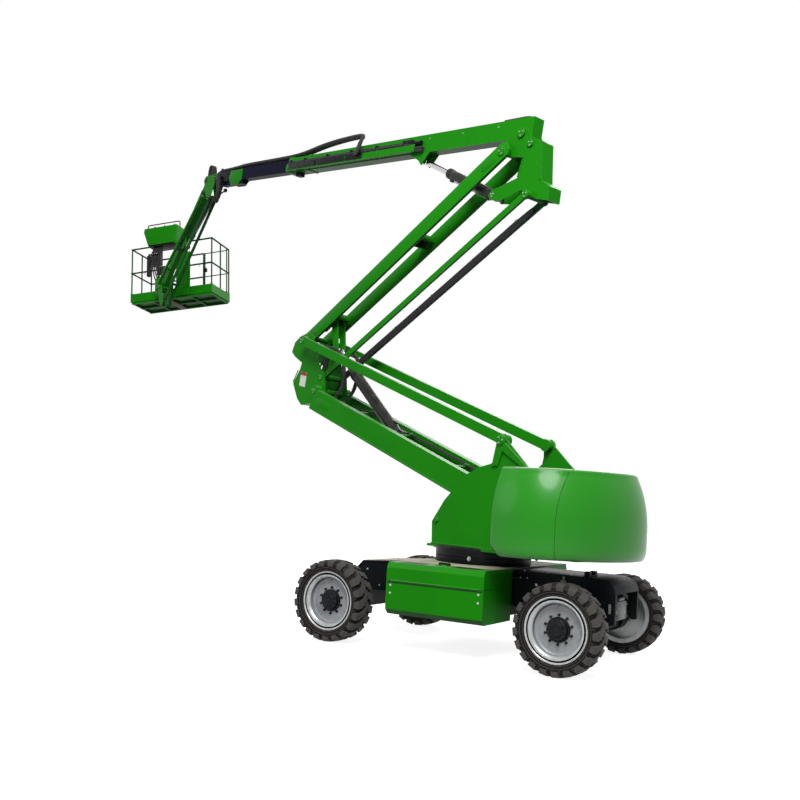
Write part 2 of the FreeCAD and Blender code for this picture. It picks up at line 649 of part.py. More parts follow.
make_chassis_frame()
make_drive_motor()
make_front_axle()
for side, word in ((1, "Left"), (-1, "Right")):
    make_steering_knuckle(side, word)
make_rear_axle()
for side, word in ((1, "Left"), (-1, "Right")):
    make_side_box(side, word)

ring = cylinder("SlewOuter", "Z", d.slew_radius, d.slew_height, (0, 0, d.deck_height))
part("slewing_ring", cut("SlewRing", ring, cylinder(
    "SlewBore", "Z", d.slew_bore, d.slew_height + 20, (0, 0, d.deck_height - 10))), ground)

# --- Turntable ----------------------------------------------------------------------------

base_z = d.deck_height + d.slew_height + 0.3
base_top = base_z + d.base_plate


def make_turntable_frame():
    """Base plate, two side plates with the link brackets, and the pins they carry."""
    pieces = [slab("BasePlate", [
        (d.base_front, -d.base_half_width), (d.base_front, d.base_half_width),
        (d.seat_gap - d.hood_rear, d.base_half_width), (d.seat_gap - d.hood_rear, -d.base_half_width),
    ], base_z, d.base_plate)]
    link = (d.link_pin_x, d.link_pin_z)
    profile = [
        (470, base_top), (484, 1428), (288, 1683), (-42, 1986), (-279, 2082), (-440, 2118),
        (link[0] + 70, 2180), (link[0] + 75, link[1] + 20), (link[0] + 30, link[1] + 75),
        (link[0] - 40, link[1] + 70), (link[0] - 75, link[1]), (-950, 2125), (-1040, 2030),
        (-1040, base_top),
    ]
    for side, word in ((1, "Left"), (-1, "Right")):
        outer_start = d.side_plate_half_gap if side > 0 else -d.side_plate_half_gap - d.side_plate_thickness
        pieces.append(plate(f"SidePlate{word}", profile, outer_start, d.side_plate_thickness))
        brace = d.side_plate_half_gap + d.side_plate_thickness - 1
        pieces.append(plate(f"LinkBracket{word}", [
            (link[0] - 60, link[1] - 30), (-1010, d.bracket_foot - 25), (-900, d.bracket_foot),
            (link[0] - 30, link[1] - 120), (-560, d.bracket_foot), (-470, d.bracket_foot),
            (link[0] + 60, link[1] - 30),
        ], brace if side > 0 else -brace - d.bracket_depth, d.bracket_depth))
        inner = d.link_half_gap - 2
        stub = d.side_plate_half_gap + d.side_plate_thickness - inner
        pieces.append(cylinder(f"LinkPin{word}", "Y", d.pin_radius, stub,
                               (link[0], inner if side > 0 else -inner - stub, link[1])))
        cap_start = d.side_plate_half_gap + d.side_plate_thickness - 1
        pieces.append(cylinder(f"LinkPinCap{word}", "Y", d.pin_cap_radius, d.pin_cap,
                               (link[0], cap_start if side > 0 else -cap_start - d.pin_cap, link[1])))
    total = (d.side_plate_half_gap + d.side_plate_thickness) * 2
    pieces.append(cylinder("LowerPin", "Y", d.pin_radius, total, (d.lower_pin_x, -total / 2, d.lower_pin_z)))
    part("turntable_frame", fuse("TurntableFrame", *pieces), turntable)


def tail_form(name, inset):
    """The outer form of the tail with its hoods: plan outlines lofted from the foot to the top."""
    body = doc.addObject("PartDesign::Body", name)
    rise = d.hood_top - d.hood_bottom
    levels = (
        (d.hood_bottom - (1 if inset.value else 0), d.tail_foot_inset),
        (d.hood_bottom + rise * 0.16, as_size(2)),
        (d.hood_bottom + rise * 0.5, as_size(0)),
        (d.hood_bottom + rise * 0.82, d.tail_shoulder_inset),
        (d.hood_top - inset, d.tail_top_inset),
    )
    sketches = []
    for number, (level, lean) in enumerate(levels):
        sketch = sketch_on(body, f"{name}_plan_{number}", "XY_Plane", level)
        draw_tail_plan(sketch, d.hood_front + inset, d.hood_outer - lean - inset, d.tail_end - lean - inset,
                       d.tail_corner - inset)
        sketches.append(sketch)
    loft = body.newObject("PartDesign::AdditiveLoft", name + "_loft")
    loft.Profile = sketches[0]
    loft.Sections = sketches[1:]
    return body


def make_counterweight():
    """Heavy tail block with rounded corners, and a tongue with the hoods' hinges that closes the channel."""
    height = d.hood_top - d.hood_bottom
    behind = box("TailSpan", d.tail_end - d.hood_rear + 50, d.hood_outer * 2 + 100, height + 100,
                 (-d.tail_end - 50, -d.hood_outer - 50, d.hood_bottom - 50))
    tail = common("Tail", tail_form("TailForm", as_size(0)), behind)
    half = d.side_plate_half_gap - d.side_gap
    wall = d.tongue_wall
    low = base_top + d.seat_gap
    tongue_height = d.hood_top - 30 - low
    tongue = box("Tongue", d.hood_rear - d.channel_end + 50, half * 2, tongue_height,
                 (-d.hood_rear - 50, -half, low))
    below = box("TongueHollow", d.hood_rear - d.channel_end - wall * 2, (half - wall) * 2, tongue_height,
                (wall - d.hood_rear, wall - half, low - wall))
    hinge_length = d.hood_rear - d.channel_end - 40
    pieces = [tail, cut("TongueShell", tongue, below)]
    for side, word in ((1, "Left"), (-1, "Right")):
        pieces.append(cylinder(f"HoodHinge{word}", "X", d.hinge_radius, hinge_length,
                               (20 - d.hood_rear, side * (d.hood_inner - d.hinge_radius - d.seat_gap),
                                d.hood_top - d.hinge_radius)))
        reach = d.hood_inner - d.hinge_radius - d.seat_gap - half + 20
        pieces.append(box(f"HingeLeaf{word}", hinge_length, reach, 8,
                          (20 - d.hood_rear, half - 20 if side > 0 else -half + 20 - reach,
                           d.hood_top - d.hinge_radius * 2 - 20)))
        pieces.append(box(f"HingeWeb{word}", hinge_length, 8, d.hinge_radius + 20,
                          (20 - d.hood_rear, side * (d.hood_inner - d.hinge_radius - d.seat_gap) - 4,
                           d.hood_top - d.hinge_radius * 2 - 20)))
    part("counterweight", fuse("Counterweight", *pieces), turntable)


def make_hood(side, word):
    """Hinged hood shell over one side of the turntable, open below and towards the middle."""
    length = d.hood_rear - d.hood_front - d.hood_seam
    width = d.hood_outer - d.hood_inner + 50
    span = box(f"HoodSpan{word}", length, width, d.hood_top,
               (d.hood_seam - d.hood_rear, d.hood_inner if side > 0 else -d.hood_inner - width, 50))
    shell = cut(f"HoodShell{word}", tail_form(f"HoodForm{word}", as_size(0)),
                tail_form(f"HoodHollow{word}", d.hood_wall))
    part(f"hood_{word.lower()}", common(f"Hood{word}", shell, span), turntable)


def make_equipment(side, word, name):
    """Plain block for the engine or the tanks under a hood, on its tray."""
    start = d.base_half_width + 30
    width = d.engine_width
    y = start if side > 0 else -start - width
    x = -(d.hood_front + d.hood_rear + d.engine_length) / 2
    block = box(f"{name}Block", d.engine_length, width, d.engine_height, (x, y, base_top + 20))
    tray_y = d.base_half_width + 0.3
    tray_width = d.hood_outer - d.base_half_width - 60
    tray_start = tray_y if side > 0 else -tray_y - tray_width
    tray = box(f"{name}Tray", d.hood_rear - d.hood_front - 60, tray_width, 20,
               (-d.hood_rear + 30, tray_start, base_top))
    part(name.lower(), fuse(name, block, tray), turntable)


make_turntable_frame()
make_counterweight()
make_hood(1, "Left")
make_hood(-1, "Right")
make_equipment(1, "Left", "Engine")
make_equipment(-1, "Right", "Tanks")

# --- Arms ---------------------------------------------------------------------------------


def make_beam(name, start, width, length, depth, rise, hole, boss):
    """A box section bar with a solid end, a round boss and a pin hole at each end."""
    wall = d.beam_wall
    bar = cut(name + "_bar", box(name + "_outer", length, width, depth, (0, start, rise - depth)),
              box(name + "_hollow", length - d.beam_end * 2, width - wall * 2, depth - wall * 2,
                  (d.beam_end, start + wall, rise - depth + wall)))
    pieces = [bar]
    holes = []
    for tag, x in (("foot", as_size(0)), ("head", length)):
        pieces.append(cylinder(f"{name}_{tag}_boss", "Y", boss, width, (x, start, 0)))
        holes.append(cylinder(f"{name}_{tag}_hole", "Y", hole, width + 20, (x, start - 10, 0)))
    return cut(name, fuse(name + "_solid", *pieces), *holes)


def both_sides(half_gap, width):
    return (("left", half_gap), ("right", -half_gap - width))


for tag, start in both_sides(d.lower_beam_half_gap, d.lower_beam_width):
    part(f"lower_beam_{tag}", make_beam(f"LowerBeam_{tag}", start, d.lower_beam_width, d.lower_length,
                                        d.lower_beam_depth, d.lower_beam_rise, pin_hole, d.boss_radius),
         lower_arm)

cross_span = d.lower_beam_half_gap * 2 - 0.6
lower_cross = [
    box("LowerCrossNear", 140, cross_span, 160, (500, -cross_span / 2, -220)),
]
clevis_x, clevis_z = d.riser_base_along, -d.riser_base_drop
clevis_gap = d.riser_barrel_radius + d.eye_gap
clevis_bar = box("ClevisBar", 200, cross_span, 90, (clevis_x - 100, -cross_span / 2, clevis_z - 200))
clevis_parts = [clevis_bar]
for tag, start in both_sides(clevis_gap, d.ear_thickness):
    clevis_parts.append(box(f"ClevisEar_{tag}", 120, d.ear_thickness, 220,
                            (clevis_x - 60, start, clevis_z - 160)))
clevis_parts.append(cylinder("ClevisPin", "Y", d.pin_radius, clevis_gap * 2,
                             (clevis_x, -clevis_gap, clevis_z)))
part("riser_clevis", fuse("RiserClevis", *clevis_parts), lower_arm)
part("lower_cross", fuse("LowerCross", lower_cross[0], box(
    "LowerCrossFar", 140, cross_span, 120, (540, -cross_span / 2, -200))), lower_arm)

for tag, start in both_sides(d.link_half_gap, d.link_width):
    part(f"lower_link_{tag}", make_beam(f"LowerLink_{tag}", start, d.link_width, d.lower_length,
                                        d.link_depth, d.link_depth / 2, pin_hole, d.link_boss_radius),
         lower_links)


def make_middle_knuckle():
    """Two plates that join the lower and the upper arm, with their four pins."""
    pieces = []
    outline = [
        (594, 851), (714, 781), (784, 641), (694, 560), (500, 455), (545, 350), (702, 161), (574, -70),
        (460, -175), (115, -160), (-115, -60), (-115, 60), (-85, 260), (15, 330), (235, 680),
        (215, 810), (365, 900),
    ]
    for tag, start in both_sides(d.knuckle_plate_half_gap, d.knuckle_plate):
        pieces.append(plate(f"KnucklePlate_{tag}", outline, start, d.knuckle_plate))
    skin = d.knuckle_web
    web_half = d.knuckle_plate_half_gap + 2
    pieces.append(plate("KnuckleWeb", [
        (702, 161), (702 - skin, 161 + skin / 2), (574 - skin, -70 + skin / 2), (460 - skin, -175 + skin),
        (115, -160 + skin), (115, -160), (460, -175), (574, -70)], -web_half, web_half * 2))
    spans = (
        ("Lower", (0, 0), (d.lower_beam_half_gap + d.lower_beam_width) * 2),
        ("Upper", (d.upper_pin_x, d.upper_pin_z), d.knuckle_plate_half_gap * 2 + 4),
        ("UpperLink", (upper_link_x, upper_link_z), d.knuckle_plate_half_gap * 2 + 4),
    )
    for name, (x, z), span in spans:
        pieces.append(cylinder(f"Middle{name}Pin", "Y", d.pin_radius, span, (x, -span / 2, z)))
    stub = d.link_half_gap + d.link_width - d.knuckle_plate_half_gap
    for tag, start in both_sides(d.knuckle_plate_half_gap, stub):
        pieces.append(cylinder(f"MiddleLinkPin_{tag}", "Y", d.pin_radius, stub,
                               (far_pin_x, start, far_pin_z)))
    part("middle_knuckle", fuse("MiddleKnuckle", *pieces), middle)


make_middle_knuckle()

for tag, start in both_sides(d.upper_beam_half_gap, d.upper_beam_width):
    part(f"upper_beam_{tag}", make_beam(f"UpperBeam_{tag}", start, d.upper_beam_width, d.upper_length,
                                        d.upper_beam_depth, d.upper_beam_depth / 2, pin_hole,
                                        d.boss_radius), upper_arm)

upper_span = d.upper_beam_half_gap * 2 - 0.6
eye_x = d.upper_length - d.riser_eye_along


def channel(name, along, length, height, span):
    """A cross member bent to a channel that opens downwards, between two beams."""
    wall = d.channel_wall
    outer = box(name + "_outer", length, span, height, (along, -span / 2, -height / 2))
    inner = box(name + "_inner", length - wall * 2, span + 20, height,
                (along + wall, -span / 2 - 10, -height / 2 - wall))
    return cut(name, outer, inner)


bracket = [channel("UpperCrossNear", d.upper_length - d.cross_near, as_size(150), as_size(90), upper_span)]
part("upper_cross_far", channel("UpperCrossFar", d.upper_length - d.cross_far, as_size(150), as_size(104),
                                upper_span), upper_arm)
eye_gap = d.riser_rod_radius + d.eye_gap
for tag, start in both_sides(eye_gap, d.ear_thickness):
    bracket.append(plate(f"EyeEar_{tag}", [
        (eye_x - 230, 40), (eye_x - 80, 40), (eye_x + 60, -d.riser_eye_drop),
        (eye_x, -d.riser_eye_drop - 60), (eye_x - 60, -d.riser_eye_drop)], start, d.ear_thickness))
for tag, start in both_sides(eye_gap + d.ear_thickness, as_size(12)):
    bracket.append(cylinder(f"EyePinHead_{tag}", "Y", d.pin_radius, as_size(12),
                            (eye_x, start, -d.riser_eye_drop)))
part("riser_eye_bracket", fuse("RiserEyeBracket", *bracket), upper_arm)

for tag, start in both_sides(d.upper_link_half_gap, d.upper_link_width):
    part(f"upper_link_{tag}", make_beam(f"UpperLink_{tag}", start, d.upper_link_width, d.upper_length,
                                        d.upper_link_depth, d.upper_link_depth / 2, pin_hole,
                                        d.link_boss_radius - 18), upper_links)


def make_link_hoses():
    """Hoses that lie on the far upper link under a row of clips."""
    radius = d.hose_radius
    top = d.upper_link_depth / 2 + d.seat_gap
    start_y = -d.upper_link_half_gap - d.upper_link_width
    pieces = []
    for number in range(2):
        y = start_y + radius + number * (d.upper_link_width - radius * 2)
        pieces.append(cylinder(f"LinkHose{number}", "X", radius, d.hose_run, (d.hose_start, y, top + radius)))
    pitch_x = (d.hose_run - d.hose_clip * 4) / (d.hose_clip_count - 1)
    for number in range(int(d.hose_clip_count.value)):
        pieces.append(box(f"HoseClip{number}", d.hose_clip, d.upper_link_width, radius * 2,
                          (d.hose_start + d.hose_clip + pitch_x * number, start_y, top)))
    part("link_hoses", fuse("LinkHoses", *pieces), upper_links)


make_link_hoses()


def make_cylinder(name, frame, span, barrel_radius, rod_radius, barrel_length, rod_start, base_pin, eye_pin):
    """Hydraulic cylinder: a barrel on its base pin, and a rod whose eye meets the other pin."""
    eye = base_pin + 24
    barrel = cylinder(f"{name}Tube", "X", barrel_radius, barrel_length, (0, 0, 0))
    width = barrel_radius * 2 - 4
    knuckle = cylinder(f"{name}Foot", "Y", eye, width, (0, -width / 2, 0))
    bore = cylinder(f"{name}Bore", "X", rod_radius + 0.3, barrel_length, (eye + 20, 0, 0))
    pin_bore = cylinder(f"{name}PinBore", "Y", base_pin + d.running_gap, width * 2, (0, -width, 0))
    part(f"{name.lower()}_barrel", cut(f"{name}Barrel", fuse(f"{name}BarrelSolid", barrel, knuckle),
                                       bore, pin_bore), frame)
    rod = cylinder(f"{name}RodBar", "X", rod_radius, as_size(span) - rod_start, (rod_start, 0, 0))
    head_width = (rod_radius + d.eye_gap / 3) * 2
    head = cylinder(f"{name}RodEye", "Y", eye_pin + 18, head_width, (as_size(span), -head_width / 2, 0))
    part(f"{name.lower()}_rod", fuse(f"{name}Rod", rod, head), frame)


riser_frame, riser_span = between(lower_arm, (clevis_x, 0, clevis_z),
                                  upper_arm, (eye_x, 0, -d.riser_eye_drop))
make_cylinder("Riser", riser_frame, riser_span, d.riser_barrel_radius, d.riser_rod_radius,
              d.riser_barrel_length, d.riser_rod_start, d.pin_radius, d.pin_radius - 8)

# --- Upright, boom and fly ---------------------------------------------------------------


def make_upright():
    """Two plates with a rear panel, flared at the foot, and the pins they carry."""
    pieces = []
    outline = [
        (101, 115), (36, -40), (-284, -120), (-194, -345), (105, -390), (215, -400), (265, -455),
        (240, -520), (60, -560), (-264, -505), (-500, -660), (-684, -713), (-701, -560), (-567, -458),
        (-537, 7), (-384, 110), (-330, 205), (-234, 265), (-130, 205),
    ]
    half = d.upright_half_width
    for tag, start in both_sides(half - d.upright_plate, d.upright_plate):
        pieces.append(plate(f"UprightPlate_{tag}", outline, start, d.upright_plate))
    panel = plate("UprightPanel", [
        (-555, 0), (-567, -458), (-701, -560), (-684, -713), (-660, -713), (-672, -560), (-540, -452),
        (-528, 0)], -half + 2, (half - 2) * 2)
    pieces.append(panel)
    spans = (
        ("Foot", (0, 0), (d.upper_beam_half_gap + d.upper_beam_width) * 2, d.pin_radius),
        ("Link", (d.upright_link_x, d.upright_link_z), (d.upper_link_half_gap + d.upper_link_width) * 2,
         d.pin_radius),
        ("Boom", (d.boom_pin_x, d.boom_pin_z), half * 2 + 20, d.pin_radius),
        ("Level", (d.level_pin_x, d.level_pin_z), half * 2 + 20, d.pin_radius),
        ("Cylinder", (d.boom_cylinder_x, d.boom_cylinder_z), half * 2, d.pin_radius - 8),
    )
    for name, (x, z), span, radius in spans:
        pieces.append(cylinder(f"Upright{name}Pin", "Y", radius, span, (x, -span / 2, z)))
    return part("upright", fuse("Upright", *pieces), upright)


make_upright()


def make_boom_base():
    """Hollow base section of the boom, with the cylinder's bracket under it."""
    half = d.boom_width / 2
    wall = d.boom_wall
    tube = box("BoomTube", d.boom_length + d.boom_tail, d.boom_width, d.boom_depth,
               (-d.boom_tail, -half, d.boom_rise - d.boom_depth))
    hollow = box("BoomHollow", d.boom_length - 250, d.boom_width - wall * 2, d.boom_depth - wall * 2,
                 (260, -half + wall, d.boom_rise - d.boom_depth + wall))
    boss = cylinder("BoomBoss", "Y", d.boss_radius - 10, d.boom_width, (0, -half, 0))
    eye_x, eye_z = d.eye_bracket_along, -d.eye_bracket_drop
    bottom = d.boom_rise - d.boom_depth
    ears = []
    for tag, start in both_sides(half - 16, as_size(16)):
        ears.append(plate(f"BoomEar_{tag}", [
            (eye_x - 150, bottom + 4), (eye_x - 60, eye_z), (eye_x, eye_z - 60), (eye_x + 60, eye_z),
            (eye_x + 260, bottom + 4)], start, as_size(16)))
    trough = box("TroughOuter", d.trough_length, d.trough_depth, d.trough_rise,
                 (d.trough_start, half - 1, bottom + d.trough_foot))
    gutter = box("TroughHollow", d.trough_length + 20, d.trough_depth - d.trough_wall * 2, d.trough_rise,
                 (d.trough_start - 10, half + d.trough_wall, bottom + d.trough_foot + d.trough_wall))
    solid = fuse("BoomBaseSolid", tube, boss, cut("Trough", trough, gutter), *ears)
    hole = cylinder("BoomPinHole", "Y", pin_hole, d.boom_width + 20, (0, -half - 10, 0))
    part("boom_base", cut("BoomBase", solid, hollow, hole), boom)


make_boom_base()

fly_start = d.fly_reach - d.fly_length
fly_top = boom_axis_z + d.fly_depth / 2
fly_outer = box("FlyTube", d.fly_length - 60, d.fly_width, d.fly_depth,
                (fly_start, -d.fly_width / 2, fly_top - d.fly_depth))
fly_inner = box("FlyHollow", d.fly_length, d.fly_width - d.fly_wall * 2, d.fly_depth - d.fly_wall * 2,
                (fly_start - 60, -d.fly_width / 2 + d.fly_wall, fly_top - d.fly_depth + d.fly_wall))
fly_head = cylinder("FlyHead", "Y", as_size(70), d.fly_width, (d.fly_reach, -d.fly_width / 2, boom_axis_z))
fly_block = box("FlyBlock", 120, d.fly_width, 120, (d.fly_reach - 120, -d.fly_width / 2, boom_axis_z - 60))
fly_tube = cut("FlyHollowTube", fly_outer, fly_inner)
fly_hole = cylinder("FlyHole", "Y", small_hole, d.fly_width + 20,
                    (d.fly_reach, -d.fly_width / 2 - 10, boom_axis_z))
fly_pieces = [fly_tube, fly_head, fly_block]
side_pad = (d.boom_width - d.fly_width) / 2 - d.boom_wall - d.seat_gap
under_pad = (d.boom_depth - d.fly_depth) / 2 - d.boom_wall - d.seat_gap
for tag, start in both_sides(d.fly_width / 2 - 1, side_pad + 1):
    fly_pieces.append(box(f"SidePad_{tag}", d.pad_length, side_pad + 1, d.fly_depth - 60,
                          (fly_start, start, boom_axis_z - d.fly_depth / 2 + 30)))
for tag, start in (("over", d.fly_depth / 2 - 1), ("under", -d.fly_depth / 2 - under_pad)):
    fly_pieces.append(box(f"LevelPad_{tag}", d.pad_length, d.fly_width - 40, under_pad + 1,
                          (fly_start, -d.fly_width / 2 + 20, boom_axis_z + start)))
fly_pieces.append(box("FlyUnderBracket", d.under_length, d.under_width, d.under_depth + 1,
                      (d.under_start, -d.under_width / 2, fly_top - d.fly_depth - d.under_depth)))
part("boom_fly", cut("BoomFly", fuse("FlySolid", *fly_pieces), fly_hole), boom)

boom_frame, boom_span = between(upright, (d.boom_cylinder_x, 0, d.boom_cylinder_z),
                                boom, (d.eye_bracket_along, 0, -d.eye_bracket_drop))
make_cylinder("Luff", boom_frame, boom_span, d.boom_barrel_radius, d.boom_rod_radius,
              d.boom_barrel_length, d.luff_rod_start, d.pin_radius - 8, d.pin_radius - 8)

# --- Nose, jib and platform support ------------------------------------------------------


def make_nose():
    """Levelled bracket at the boom's nose that carries the jib's two upper pins."""
    pieces = []
    outline = [(-60, 60), (50, 70), (d.jib_pin_x, d.jib_pin_z + 70), (d.jib_pin_x + 70, d.jib_pin_z),
               (d.jib_link_x + 80, d.jib_link_z), (d.jib_link_x, d.jib_link_z - 60),
               (d.jib_link_x - 70, d.jib_link_z), (-10, -80), (-70, -30)]
    for tag, start in both_sides(d.nose_half_gap, d.nose_plate):
        pieces.append(plate(f"NosePlate_{tag}", outline, start, d.nose_plate))
    span = (d.nose_half_gap + d.nose_plate) * 2
    for name, x, z in (("Nose", 0, 0), ("Jib", d.jib_pin_x, d.jib_pin_z),
                       ("Link", d.jib_link_x, d.jib_link_z)):
        pieces.append(cylinder(f"{name}NosePin", "Y", d.pin_radius - 8, span, (x, -span / 2, z)))
    part("nose_bracket", fuse("NoseBracket", *pieces), nose)


make_nose()


def make_jib():
    """Jib beam with the cylinder's ears under it, the twin links below, and the cylinder between them."""
    beam = make_beam("JibBar", -d.jib_width / 2, d.jib_width, d.jib_length, d.jib_depth, d.jib_depth / 2,
                     small_hole, d.link_boss_radius)
    along, drop, reach = d.jib_eye_along, -d.jib_eye_drop, d.jib_ear_reach
    foot = 4 - d.jib_depth / 2
    pieces = [beam]
    for tag, start in both_sides(d.jib_ear_gap, d.jib_ear_thickness):
        pieces.append(plate(f"JibEar_{tag}", [
            (along - reach * 3, foot), (along - reach, drop), (along - reach / 2, drop - reach),
            (along + reach / 2, drop - reach), (along + reach, drop), (along + reach * 3, foot),
        ], start, d.jib_ear_thickness))
    part("jib_beam", fuse("JibBeam", *pieces), jib)
    boss = d.link_boss_radius - 18
    bars, holes = [], []
    for tag, start in both_sides(d.jib_link_half_gap, d.jib_link_width):
        bars.append(box(f"JibLink_{tag}_bar", d.jib_length, d.jib_link_width, d.jib_link_depth,
                        (0, start, -d.jib_link_depth / 2)))
        for end, x in (("foot", as_size(0)), ("head", d.jib_length)):
            bars.append(cylinder(f"JibLink_{tag}_{end}", "Y", boss, d.jib_link_width, (x, start, 0)))
    span = (d.jib_link_half_gap + d.jib_link_width) * 2
    bars.append(cylinder("JibLinkTie", "Y", d.jib_tie_radius, span - 2, (d.jib_tie_along, 1 - span / 2, 0)))
    for end, x in (("foot", as_size(0)), ("head", d.jib_length)):
        holes.append(cylinder(f"JibLinkHole_{end}", "Y", small_hole, span + 20, (x, -span / 2 - 10, 0)))
    part("jib_link", cut("JibLink", fuse("JibLinkBars", *bars), *holes), jib_link)
    make_cylinder("Jib", jib_cylinder, jib_span, d.jib_barrel_radius, d.jib_rod_radius, d.jib_barrel_length,
                  d.jib_rod_start, d.pin_radius - 8, d.jib_pin_radius)


jib_cylinder, jib_span = between(nose, (d.jib_link_x, 0, d.jib_link_z),
                                 jib, (d.jib_eye_along, 0, -d.jib_eye_drop))
make_jib()


def make_support():
    """Plates on the jib's lower pins, and the rotator that the platform turns on."""
    pieces = []
    turned = pitch(d.support_tilt).Rotation
    link = turned.multVec(Vector(d.jib_link_x.value - d.jib_pin_x.value, 0,
                                 d.jib_link_z.value - d.jib_pin_z.value))
    bottom = d.rotator_z - d.platform_drop + d.column_height + d.seat_gap
    outline = [(-60, 70), (60, 90), (d.rotator_x, bottom + d.rotator_height - 60), (d.rotator_x, bottom + 4),
               (80, bottom + 4), (link.x + 70, link.z), (link.x, link.z - 60), (link.x - 70, link.z),
               (-70, 0)]
    for tag, start in both_sides(d.nose_half_gap, d.nose_plate):
        pieces.append(plate(f"SupportPlate_{tag}", outline, start, d.nose_plate))
    span = (d.nose_half_gap + d.nose_plate) * 2
    for name, x, z in (("Beam", 0, 0), ("Link", link.x, link.z)):
        pieces.append(cylinder(f"{name}SupportPin", "Y", d.pin_radius - 8, span, (x, -span / 2, z)))
    pieces.append(cylinder("Rotator", "Z", d.rotator_radius, d.rotator_height,
                           (d.rotator_x, 0, bottom)))
    part("platform_support", fuse("PlatformSupport", *pieces), support)


make_support()


def make_platform_floor(near, far, right, left, floor_z):
    """Floor tray with toe boards, the arm to the rotator, and the panel that takes the mount's load."""
    wall = d.toe_thickness
    depth, length = far - near, left - right
    floor = box("Floor", depth, length, d.floor_thickness, (near, right, floor_z))
    toe = box("ToeOuter", depth, length, d.toe_height, (near, right, floor_z))
    toe_hollow = box("ToeHollow", depth - wall * 2, length - wall * 2, d.toe_height,
                     (near + wall, right + wall, floor_z + d.floor_thickness))
    arm = box("MountArm", near + 1, 180, d.column_height, (0, -90, floor_z))
    column = cylinder("MountColumn", "Z", d.rotator_radius - 12, d.column_height, (0, 0, floor_z))
    panel = box("MountPanel", d.panel_thickness, d.panel_width, d.panel_height,
                (near - d.panel_thickness - d.seat_gap, -d.panel_width / 2, floor_z))
    part("platform_floor", fuse("PlatformFloor", cut("FloorShell", toe, toe_hollow), floor, arm, column,
                                panel), platform)


def make_rails(near, far, right, left, floor_z):
    """Four flat frames of tube around the platform; the far one leaves the gate's opening free."""
    r, post = d.rail_radius, d.post_radius
    top_z = floor_z + d.rail_height - r
    mid_z = floor_z + d.mid_rail_height
    foot_z = floor_z + d.toe_height + d.seat_gap
    gate_post = right + d.gate_width

    def tubes(tag, y_start, y_end, x, posts):
        pieces = [rod_between(f"{tag}{level}", r, (x, y_start, z), (x, y_end, z))
                  for level, z in (("Top", top_z), ("Mid", mid_z))]
        for number, y in enumerate(posts):
            pieces.append(cylinder(f"{tag}Post{number}", "Z", post, top_z - foot_z, (x, y, foot_z)))
        return pieces

    first, last = right + r, left - r
    third = (last - first) / 3
    near_posts = (first, first + third, last - third, last)
    part("rail_near", fuse("RailNear", *tubes("RailNear", right, left, near + r, near_posts)),
         platform)
    far_posts = (gate_post, (gate_post + last) / 2, last)
    pieces = tubes("RailFar", gate_post, left, far - r, far_posts)
    pieces.append(cylinder("RailFarCorner", "Z", post, top_z + r - foot_z, (far - r, first, foot_z)))
    part("rail_far", fuse("RailFar", *pieces[:-1]), platform)
    hinge_y = first + d.gate_hinge
    lugs = [pieces[-1]]
    for level, z in (("Low", foot_z + 40), ("High", top_z + r - 8)):
        lugs.append(box(f"GateLug{level}", post * 2, d.gate_hinge + post, 8, (far - r - post, first, z)))
    part("gate_post", fuse("GatePost", *lugs), platform)
    inset = r * 2 + d.seat_gap
    for tag, y in (("left", last), ("right", first)):
        side = [rod_between(f"Rail_{tag}_{level}", r, (near + inset, y, z), (far - inset, y, z))
                for level, z in (("top", top_z), ("mid", mid_z))]
        middle = (near + far) / 2
        side.append(cylinder(f"Rail_{tag}_post", "Z", post, top_z - foot_z, (middle, y, foot_z)))
        part(f"rail_{tag}", fuse(f"Rail_{tag}", *side), platform)
    start_z = foot_z + 48 + d.seat_gap
    end_z = top_z + r - 8 - d.seat_gap
    latch_y = gate_post - post - d.gate_radius - d.side_gap
    gate = []
    for name, y in (("Hinge", hinge_y), ("Latch", latch_y)):
        gate.append(cylinder(f"Gate{name}Stile", "Z", d.gate_radius, end_z - start_z, (far - r, y, start_z)))
    for name, z in (("Foot", start_z + d.gate_radius), ("Mid", mid_z), ("Top", end_z - d.gate_radius)):
        gate.append(rod_between(f"Gate{name}Bar", d.gate_radius - 2,
                                (far - r, hinge_y, z), (far - r, latch_y, z)))
    part("gate", fuse("Gate", *gate), platform)


def make_console(near, floor_z):
    """Open-bottomed control box that stands on the near rail, narrower at its foot."""
    wall = d.console_wall
    foot = floor_z + d.rail_height + d.seat_gap
    middle = near + d.rail_radius
    start = d.platform_side + d.console_side - d.console_length / 2

    def form(name, inset, length, y):
        foot_half, top_half = d.console_foot / 2 - inset, d.console_depth / 2 - inset
        low = foot - inset
        high = foot + d.console_height - inset
        return plate(name, [
            (middle - foot_half, low), (middle + foot_half, low), (middle + top_half, high - 90),
            (middle + top_half, high), (middle - top_half, high), (middle - top_half, high - 140)], y, length)

    solid = form("ConsoleForm", as_size(0), d.console_length, start)
    hollow = form("ConsoleHollow", wall, d.console_length - wall * 2, start + wall)
    part("console", cut("Console", solid, hollow), platform)


def make_platform():
    """Work platform with its floor, rails, gate and control box."""
    near, right = d.platform_offset, d.platform_side - d.platform_length / 2
    far, left = near + d.platform_depth, right + d.platform_length
    floor_z = -d.platform_drop
    make_platform_floor(near, far, right, left, floor_z)
    make_rails(near, far, right, left, floor_z)
    make_console(near, floor_z)


make_platform()

# --- Checks and export --------------------------------------------------------------------

doc.recompute()
for item in doc.Objects:
    if "Invalid" in item.State or "Error" in item.State:
        raise RuntimeError(f"{item.Name} did not build: {item.State}")
os.makedirs("parts", exist_ok=True)
for item in parts:
    shape = item.Shape
    if shape.isNull() or not shape.isValid() or not shape.Solids:
        raise RuntimeError(f"{item.Label} has no valid shape")
    shape.exportStep(os.path.join("parts", item.Label + ".step"))
    print(item.Label, len(shape.Solids), round(shape.Volume / 1e6, 2))
